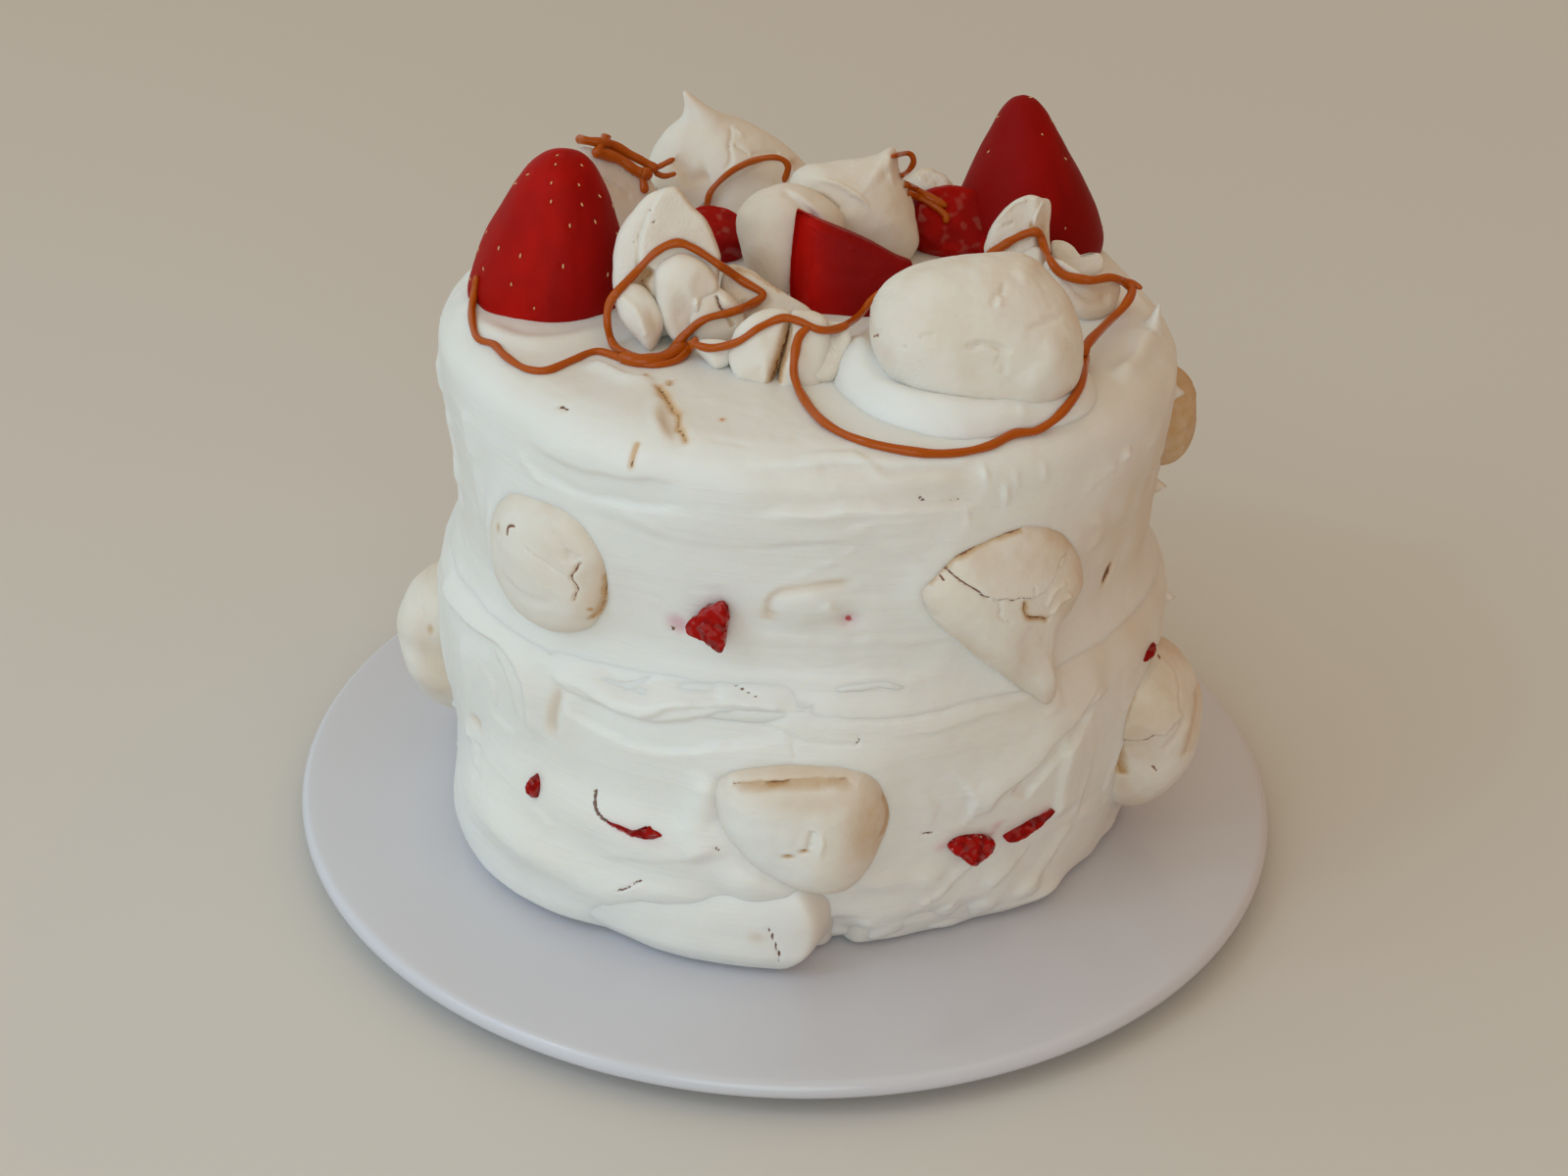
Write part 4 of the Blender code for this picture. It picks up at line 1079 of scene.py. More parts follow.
# marks on the pieces, seen square on: kind, path or place in millimetres across and up, sizes, tones left
sideMarks = {
    "side_kiss_left": [
        ("swell", (-14, 7), (1.3, 1.2), -0.3, {"toast": 0.9, "dark": 0.35}),
        ("line", [(-8.4, 6.6), (-8.2, 9.4), (-7.4, 10.6), (-5.2, 11.2)], 0.4, 0.7, {"dark": 0.9}),
        ("line", [(-0.8, 8.3), (1.5, 6.9), (5.7, 5.8), (10.6, 4.5), (15.1, 2.5)],
         0.4, 0.35, {"dark": 0.36}),
        ("line", [(13.6, 8.6), (15.8, 8.2), (17.7, 10.4)], 0.5, 0.5),
        ("swell", (14.6, 9.8), (2.2, 1.4), -0.7, 20),
        ("line", [(18.3, 9), (16.6, 6), (15.5, 3), (16.8, 1), (17.2, -0.8), (16.3, -3.4), (15.4, -5.4)],
         0.4, 0.8, 0.1, {"dark": 0.62, "toast": 0.4}),
        # painted shadow along the right edge, partly the edge's own toasting
        ("line", [(24, 6), (23.6, 0), (21.6, -7), (18, -12.5)], 0.6, 0.9, {"toast": 1.0, "dark": 0.45}),
        ("swell", (19.8, -7), (1.1, 1.0), 0, {"toast": 1.0}),
        ("swell", (20.4, 2), (2.4, 6), -0.7, 8, 3, {"toast": 0.22}),
        ("swell", (12, 12), (9, 6), 0.5, -35, {"toast": 0.2}),
        ("swell", (2, 1), (9, 5), 0.7, -30),
        ("line", [(-14, -6), (-4, -9), (6, -8), (12, -3)], 2.5, 0.5),
        ("line", [(4, 17), (12, 12), (18, 5)], 1.6, 0.5),
    ],
    "side_kiss_right": [
        ("step", [(-26.5, 20), (-19, 15), (-13, 10.9), (-8.5, 9.8), (-1.3, 8.5), (3, 9.4), (7.4, 12.7),
                  (12, 16.5)], 0.7, 0.5),
        ("line", [(-29.4, 13.5), (-28, 16), (-25.5, 18.6), (-21, 22.2), (-11.5, 25.6), (-0.5, 27)],
         0.45, 1.0, 0.05, {"dark": 0.72, "toast": 1.0}),
        ("line", [(-26.9, 20.6), (-24.7, 19), (-22.4, 17.6), (-20.4, 15.9), (-18.3, 14.6), (-16.8, 13.4),
                  (-15.3, 11.7), (-13, 10.9)], 0.4, 1.0, 0.05, {"dark": 0.9}),
        ("line", [(-13, 10.9), (-11.3, 9.7), (-8.5, 10.2), (-6.8, 9.1), (-4.7, 9.4), (-1.3, 8.5),
                  (2.5, 9.2)], 0.4, 0.7, 0.05, {"dark": 0.62}),
        ("line", [(2.5, 9.2), (5.3, 10.4), (7.4, 12.7), (9.4, 15.6), (11.9, 16.5), (14, 16.5)],
         0.4, 0.6, 0.05, {"dark": 0.42}),
        ("line", [(-11.3, 9.7), (-10.4, 7.6), (-10.7, 5.5), (-9, 3.4), (-6.4, 2.2)],
         0.4, 0.5, {"dark": 0.36}),
        ("line", [(-3.2, 8.6), (-2.6, 4), (-0.6, 1.9), (2.5, 0.7), (6.6, -1.2)],
         0.55, 1.0, 0.1, {"dark": 0.6, "toast": 1.0}),
        ("line", [(-1, 8.5), (-0.6, 12)], 0.35, 0.3, {"dark": 0.4}),
        ("line", [(-25.8, 17.4), (-25.1, 15.8)], 0.4, 0.3, {"dark": 0.9}),
        ("line", [(4, 4), (7, 8), (11, 9.6)], 0.9, -0.7),
        ("line", [(6, 1), (9.5, 4), (13, 5)], 0.9, -0.8),
        ("swell", (3.5, -12), (6, 12), -1.7, 14, 3, {"toast": 0.12}),
        ("swell", (15, 6), (5.5, 4), 1.6, -30, 3),
        ("swell", (12, 6.6), (1.2, 0.5), -0.3, -40, {"dark": 0.35}),
        ("swell", (13, 15), (1.6, 0.9), -0.2, 20, {"dark": 0.3}),
        ("swell", (2, 19), (15, 6), 0.0, 0, 3, {"toast": 0.22}),
        # painted warm light and shade: the right side tinted toast
        ("swell", (16, 4), (8, 12), 0.0, 0, 3, {"toast": 0.42}),
    ],
    "side_kiss_front": [
        ("swell", (-15, -6), (19, 22), 0, 0, 3, {"clean": 0.9}),
        ("line", [(-21, 15), (-11.5, 17), (-4, 18), (6, 18.4), (14, 17)], 0.9, 1.2, {"toast": 0.7}),
        ("line", [(-12.4, 17), (-9, 17.2), (-6, 18), (-3.6, 18.6)],
         0.6, 0.8, 0.25, {"dark": 0.5, "toast": 1.0}),
        ("line", [(-20.6, 15.6), (-17.4, 16.2)], 0.5, 0.3, {"dark": 0.5, "toast": 0.4}),
        ("line", [(2, 17.6), (5.5, 17), (11, 18.4)], 0.5, 0.5, {"dark": 0.2}),
        ("swell", (-4.6, -4.2), (1.5, 0.8), -0.9, 8, {"toast": 1.0, "dark": 0.45}),
        ("swell", (-0.4, -1.8), (1.3, 0.75), -0.9, 14, {"toast": 1.0, "dark": 0.6}),
        ("swell", (-14, 9.5), (0.7, 0.4), -0.2, {"dark": 0.6}),
        ("line", [(1.8, 5.5), (1.2, 3), (0.8, 0.5), (0, -1)], 0.8, 0.9),
        ("line", [(3.2, 7), (4, 1), (3.4, -5)], 0.9, -0.6, 0.4),
        ("swell", (-5, 1), (9, 9), -0.9, 0, 3),
        ("line", [(20.4, 12.5), (22.6, 8), (22.6, 3), (21.4, -3)], 1.0, 0.4, {"toast": 0.9, "dark": 0.12}),
        # painted warm light and shade: the right side tinted toast
        ("swell", (17, 4), (7.5, 15), 0.0, 6, 2, {"toast": 0.62}),
        ("swell", (3, 14), (18, 4), 0.0, 0, 2, {"toast": 0.3}),
    ],
    "side_kiss_low_right": [
        ("step", [(-10.5, 6), (-8.5, 5.5), (-4.5, 6), (-3, 6.5), (-1.5, 8), (2, 7.5), (4.5, 10), (6, 11),
                  (7.5, 13), (6, 14.5), (6, 17.5), (7, 20), (7, 23), (5.5, 25), (3, 27), (0, 25.5)],
         1.1, 0.5),
        ("line", [(-9.5, 5.6), (-7.6, 5.4)], 0.6, 0.4, {"dark": 0.8}),
        ("line", [(-5, 6), (-3, 6.6), (-1.5, 8)], 0.6, 0.5, {"dark": 0.9}),
        ("line", [(2, 7.5), (4.5, 10), (6, 11)], 0.6, 0.4, {"dark": 0.55}),
        ("line", [(6, 17.5), (7, 20), (7, 23)], 0.7, 0.4, {"dark": 0.25}),
        ("swell", (3, 27), (0.9, 0.8), -0.4, {"dark": 0.8}),
        ("line", [(0, -3.6), (2, -6.5)], 0.6, 0.5, {"dark": 0.7}),
        ("swell", (-2.2, 27.6), (3.6, 1.6), -1.4, 10, 4, {"dark": 0.35}),
        ("line", [(-6, 27.5), (-8.5, 22), (-10.5, 16), (-11.5, 10.5), (-11, 5), (-9.5, -1), (-7.5, -9)],
         1.0, 0.8, 0.05, {"toast": 1.0, "dark": 0.42}),
        ("line", [(15.5, 17), (15.5, 12), (13, 6.5), (11, -4)], 1.5, 0.9, {"toast": 0.5}),
        ("line", [(8, 12), (7.6, 9), (5, 5), (2, 1)], 1.6, 0.7, {"toast": 0.2}),
        ("swell", (0, 16), (8, 11), 0.4, 0, {"toast": 0.3}),
        ("swell", (17, 22), (1.3, 1.3), 1.0, 0),
    ],
    "side_kiss_low_left": [
        ("line", [(-13, 20.6), (-10, 21.4), (-7.6, 21)], 0.8, 0.9, {"dark": 0.8, "toast": 0.8}),
        ("line", [(-8.5, 19), (-6, 14), (-3.4, 10)], 0.6, 0.6, {"dark": 0.4}),
        ("swell", (-3, 8), (1.2, 2), -0.5, {"toast": 0.8, "dark": 0.4}),
    ],
}


def crackedMarks(seed, size, warm=0.0):
    # one ragged crack with two branches, a hollow where a flake came off, and a few pores
    chance = random.Random(seed)

    def crack(at, heading, count, step):
        path = [at]
        turning = 1
        for _ in range(count):
            heading += math.radians(chance.uniform(20, 50) * turning)
            turning = -turning
            at = (at[0] + step * math.cos(heading), at[1] + step * math.sin(heading))
            path.append(at)
        return path

    lean = math.radians(chance.uniform(-50, 30))
    main = crack((-0.8 * size * math.cos(lean), -0.8 * size * math.sin(lean)), lean, 8, size * 0.19)
    side = crack(main[3], lean - 1.2, 4, size * 0.13)
    over = crack(main[5], lean + 1.1, 3, size * 0.14)
    marks = [("step", main, 0.6, 0.5),
             ("line", main, 0.5, 0.9, 0.06, {"dark": 0.85}),
             ("line", side, 0.5, 0.6, 0.06, {"dark": 0.5}),
             ("line", over, 0.5, 0.5, 0.06, {"dark": 0.36}),
             ("swell", side[-1], (size * 0.36, size * 0.26), -1.2, chance.uniform(0, 90), 3),
             ("swell", (0, 0), (size, size), 0, 0, 4, {"toast": warm})]
    for _ in range(3):
        pore = (chance.uniform(-0.6, 0.6) * size, chance.uniform(-0.6, 0.6) * size)
        marks.append(("swell", pore, (0.7, 0.5), -0.3, {"dark": 0.8}))
    return marks


cracked = {  # seed, size and warmth of the marks
    # on the right flank: its warmth is painted warm light
    "side_kiss_high_right": (40, 14, 0.5),
    "side_kiss_back_a": (41, 18, 0.25),
    "side_kiss_back_b": (42, 18, 0.1),
    "side_kiss_back_c": (43, 20, 0.1),
    "side_kiss_back_d": (44, 18, 0.05),
    "side_kiss_back_e": (45, 18, 0.05),
}
for node, values in cracked.items():
    sideMarks[node] = crackedMarks(*values)


# pieces at the outline carry their marks on the side that looks to the front: middle, rise, turn
sideFaces = {"side_kiss_low_right": ((106, -44, 50), 10, -78),
             "side_kiss_low_left": ((-104, -12, 56), 10, -100)}
# painted warm light: the piece on the right flank is tinted toast all over, standing in for the orange
# light that falls there
warmLitPieces = {"side_kiss_high_right": 0.9}


def makeSideKiss(node, levels=6):
    angle, height, wide, tall, reach, deep, tilt, square, point, length = sideKisses[node]
    lump = Lump(node, levels + (node in sideOutlines or node == "side_kiss_low_right"))
    turn = lump.turn
    outlined = node in sideOutlines
    if outlined:
        tilt = 0
        spread = reachOf(turn, sideOutlines[node])
    else:
        uneven = 1 + 0.05 * np.sin(3 * turn + angle) + 0.03 * np.sin(5 * turn + 2 * angle)
        spread = squared(turn, square) * uneven * np.hypot(np.cos(turn) * wide, np.sin(turn) * tall)
    lump.spread(spread, deep, deep, 0.55 if outlined else 0.85)
    share = np.hypot(lump.ball[:, 0], lump.ball[:, 1])
    if outlined:
        lump.flatten = lump.local[:, :2] * 1.05
    else:
        pull = length * share ** 2 * bell(turnOff(np.degrees(turn), point) / 21)
        lump.local[:, 0] += pull * math.cos(math.radians(point))
        lump.local[:, 1] += pull * math.sin(math.radians(point))
    for amount, size, step in ((0.6, 12, 0), (0.16, 4, 1), (0.04, 1.4, 2)):
        lump.roughen(amount, size, angle + step)
    # painted warm light on pieces at the warm-lit right flank
    lump.tint("toast", warmLitPieces.get(node, 0))
    edge = soften(0.62, 0.98, share) * lump.facing
    lump.tint("toast", edge * (0.16 + 0.3 * soften(-0.3, 0.6, wander(lump.local, 14, angle + 3))))
    if node not in sideFaces:
        lump.mark(sideMarks.get(node, ()))
    # wrapped round the side of the cake
    local = lump.local
    c, s = math.cos(math.radians(tilt)), math.sin(math.radians(tilt))
    along = local[:, 0] * c - local[:, 1] * s
    rise = local[:, 0] * s + local[:, 1] * c
    points = sidePoint(angle + np.degrees(along / pieceRadius), reach - deep + local[:, 2], height + rise)
    if node in sideFaces:
        lump.turnTo(points, *sideFaces[node])
        lump.mark(sideMarks[node])
        points = lump.placed()
    lump.finish(wordsOf(node), points, [node])


for node in sideKisses:
    makeSideKiss(node)
print("side pieces made")


# turned outlines from the foot to the tip, as (radius share, height share)
stoutBerry = [(0, 0), (0.6, 0.01), (0.92, 0.06), (1, 0.16), (0.95, 0.33), (0.8, 0.54), (0.61, 0.74),
              (0.43, 0.89), (0.24, 0.97), (0, 1)]
slimBerry = [(0, 0), (0.6, 0.01), (0.92, 0.07), (1, 0.18), (0.9, 0.35), (0.7, 0.55), (0.47, 0.74),
             (0.3, 0.89), (0.16, 0.97), (0, 1)]
peakedKiss = [(0, 0), (0.82, 0.01), (1, 0.15), (0.97, 0.31), (0.82, 0.47), (0.58, 0.62), (0.28, 0.74),
              (0.12, 0.86), (0, 1)]
dollopShape = [(0, 0), (0.9, 0.02), (1, 0.32), (0.93, 0.66), (0.76, 0.94), (0, 1)]


def readOutline(share, outline, blur=0.35, steps=600):
    # radius and height shares of a turned outline, smoothed
    rows = len(outline) - 1
    dense = np.linspace(0, rows, steps)
    radii, heights = zip(*outline)
    width = blur * steps / rows
    radius = blurTable(np.interp(dense, range(rows + 1), radii), width, odd=True)
    height = blurTable(np.interp(dense, range(rows + 1), heights), width)
    at = share * rows
    return np.interp(at, dense, radius), np.interp(at, dense, height)


berries = {
    "strawberry_left": {"foot": (-73.5, -3, 162), "tip": (6, 1, 50),
                        "radius": 22, "outline": stoutBerry, "seed": 3, "rows": 11, "around": 13,
                        "kept": 0.6, "ripe": 0.08, "grain": (0.72, 0.27, 0.22), "dimple": 0.24},
    "strawberry_right": {"foot": (66.5, 49, 162.5), "tip": (-5.5, 1, 52),
                         "radius": 22.6, "outline": slimBerry, "seed": 8, "rows": 9, "around": 10,
                         "kept": 0.35, "ripe": 0.55, "grain": (0.6, 0.25, 0.2), "dimple": 0.2},
}


def makeBerryPiece(node):
    b = berries[node]
    mesh = uvBall(node, 180, 150)
    points = readPoints(mesh)
    turn = np.arctan2(points[:, 1], points[:, 0])
    share = 1 - np.arccos(np.clip(points[:, 2], -1, 1)) / math.pi

    def skin(turn, share):
        radius, height = readOutline(share, b["outline"])
        swell = b["radius"] * radius * (1 + 0.035 * np.cos(2 * turn + 0.6) + 0.02 * np.sin(3 * turn))
        foot, tip = b["foot"], b["tip"]
        return np.column_stack([foot[0] + tip[0] * height + swell * np.cos(turn),
                                foot[1] + tip[1] * height + swell * np.sin(turn),
                                foot[2] + tip[2] * height])

    placed = skin(turn, share)
    middle = np.array(b["foot"]) + np.array(b["tip"]) * 0.4
    outward = placed - middle
    outward /= np.linalg.norm(outward, axis=1)[:, None]
    # seeds in slanting rows, a little uneven
    chance = random.Random(b["seed"])
    seats = []
    rows = b["rows"]
    for row in range(rows):
        at = 0.14 + 0.80 * row / (rows - 1)
        around = max(3, round(b["around"] * math.sin(math.pi * min(0.5 + (at - 0.3) * 0.62, 1)) ** 1.15))
        for i in range(around):
            spin = math.tau * (i + 0.5 * (row % 2)) / around + chance.uniform(-0.12, 0.12)
            if chance.random() < b["kept"]:
                seats.append((spin, at + chance.uniform(-0.022, 0.022)))
    spins, ats = np.array(seats).T
    seatPoints = skin(spins, ats)
    depth = np.zeros(len(placed))
    for seat in seatPoints:
        away = np.linalg.norm(placed - seat, axis=1)
        close = away < 4.5
        depth[close] += b["dimple"] * (bell(away[close] / 1.15) - 0.3 * bell((away[close] - 2.2) / 1.1))
    placed = placed - outward * depth[:, None] + outward * (0.35 * wander(placed, 11, b["seed"]))[:, None]
    setPoints(mesh, placed)
    # painted shade: darker towards the right and the foot, and a little again towards the far left and the
    # tip, where the light falls off; ripe sets how dark the whole berry is
    side = (placed[:, 0] - b["foot"][0]) / b["radius"] - 0.5 * (placed[:, 2] - b["foot"][2]) / b["tip"][2]
    grain = wander(placed, (5, 5, 16), b["seed"] + 1)
    deep = b["ripe"] + 0.65 * soften(-0.5, 0.55, side + 0.3 * grain) + 0.3 * soften(-0.2, -0.9, side)
    paint(mesh, "deep", deep)
    paint(mesh, "wet", 0.0 * depth)
    # seeds as their own small grains, lying in the dimples
    bm = bmesh.new()
    for seat, spin in zip(seatPoints, spins):
        normal = Vector(seat - middle).normalized()
        long = (Vector(b["tip"]) - Vector(b["tip"]).dot(normal) * normal).normalized()
        frameOf = Matrix((long, normal.cross(long), normal)).transposed().to_4x4()
        sunk = Vector(seat) - normal * (b["dimple"] - 0.08)
        size = Matrix.Diagonal((*b["grain"], 1))
        bmesh.ops.create_icosphere(bm, subdivisions=2, radius=1,
                                   matrix=Matrix.Scale(mm, 4) @ Matrix.Translation(sunk) @ frameOf @ size)
    name = wordsOf(node)
    addPiece(name.replace("strawberry", "seeds"), meshOf(node + "Seeds", bm), seedSkin)
    addPiece(name, mesh, berryFlesh, [node])


for node in berries:
    makeBerryPiece(node)
print("strawberries made")


standing = {  # turned lumps: foot, size, how far the tip is pulled over, the way the marks look, marks
    "kiss_back": {
        "name": "backKiss", "levels": 7, "foot": (-24.5, 77, 166),
        "radius": 26, "tall": 37, "outline": peakedKiss,
        "pull": -24, "seed": 4, "look": (24, -90), "finish": meringue, "slot": "meringue",
        "marks": [
            ("line", [(0, 23.4), (0.5, 19.4), (0, 17), (0.5, 14), (0.5, 11.4), (-2, 9)],
             0.7, 0.8, 0.2, {"dark": 0.3}),
            ("line", [(0.5, 23.4), (3, 21.4), (4, 19)], 0.9, -0.5),
            ("line", [(1.5, 17.4), (4, 15.6), (6.5, 14)], 0.7, 0.6, {"dark": 0.32}),
            ("line", [(6.5, 14), (10.5, 15), (15.5, 15.4)], 0.9, 0.7),
            ("line", [(18, 12), (20, 13.6), (21.5, 15.4)], 0.8, 0.6, {"toast": 0.7}),
            ("line", [(-17.5, 11.7), (-15, 10.2), (-12.5, 7.5), (-11, 5.7), (-8, 7), (-5, 8.2)],
             2.0, 0.9, {"toast": 0.5}),
            ("step", [(20, 9), (16, 13), (11, 13), (5, 9), (0, 6), (-4, 2)], -1.6, 0.8),
            ("swell", (9, 3), (11, 6), -2.2, 14, 3)]},
    "cream_dollop": {
        "name": "creamDollop", "levels": 6, "foot": (42, -46, 164),
        "radius": 35.5, "tall": 13.5, "outline": dollopShape,
        "pull": 0, "seed": 2, "look": (90, -90), "finish": cream, "slot": "whipped_cream",
        "marks": [
            ("line", [(-29, -10), (-22, -20), (-12, -27.5), (2, -30), (14, -27), (24, -19)],
             3.4, -1.3, 0.3),
            ("line", [(-24, -10), (-16, -18), (-5, -22.5), (8, -23), (18, -18)], 2.6, 1.3, 0.3),
            ("swell", (-30, 0), (6, 12), 3.4, 8, 3),
            ("line", [(-36, -14), (-30, -24), (-18, -33), (-4, -36)], 1.6, -0.6, 0.3),
            ("line", [(12, -26), (18, -30), (24, -30)], 1.4, -0.7, 0.3)]},
}


def makeStanding(node):
    p = standing[node]
    seed, foot = p["seed"], p["foot"]
    lump = Lump(node, p["levels"])
    ball, turn = lump.ball, lump.turn
    share = 1 - np.arccos(np.clip(ball[:, 2], -1, 1)) / math.pi
    across, height = readOutline(share, p["outline"])
    swell = 1 + 0.03 * np.sin(3 * turn + seed) + 0.02 * np.sin(5 * turn + 2 * seed)
    reach = p["radius"] * across * swell
    drawn = p["pull"] * np.maximum(height - 0.25, 0) ** 1.6
    local = np.column_stack([reach * np.cos(turn) + drawn, reach * np.sin(turn), p["tall"] * height])
    rough = 0.5 * wander(local, 14, seed) + 0.12 * wander(local, 4, seed + 1)
    rough = rough + 0.03 * wander(local, 1.5, seed + 2)
    local += ball * rough[:, None]
    lump.turnTo(local + np.array(foot), foot, *p["look"])
    lump.facing = soften(-0.1, 0.3, ball @ lump.frame[2])
    lump.mark(p["marks"])
    lump.finish(p["name"], lump.placed(), [node], p["slot"], p["finish"])


for node in standing:
    makeStanding(node)


def turned(local, turns, centre):
    # turned about the three axes, x first, and moved to its place
    spun = Matrix.Identity(3)
    for degrees, axis in zip(turns, "XYZ"):
        spun = Matrix.Rotation(math.radians(degrees), 3, axis) @ spun
    return local @ np.array(spun).T + np.array(centre)


topLumps = {  # centre, half sizes, turn, flat breaks as (direction, depth), refinement
    "shard_round": ((36, 64, 176.5), (8, 8, 8), (0, 10, 0), (((0, -0.4, 1), 0.85),), 5),
    "shard_back_a": ((-50, 66, 173), (10, 8, 6.5), (10, 0, 20), (((0, 0.2, 1), 0.6),), 6),
    "shard_back_b": ((9, 71, 173.5), (11, 9, 7.5), (0, -12, 30), (((0.2, 0.3, 1), 0.55),), 6),
}
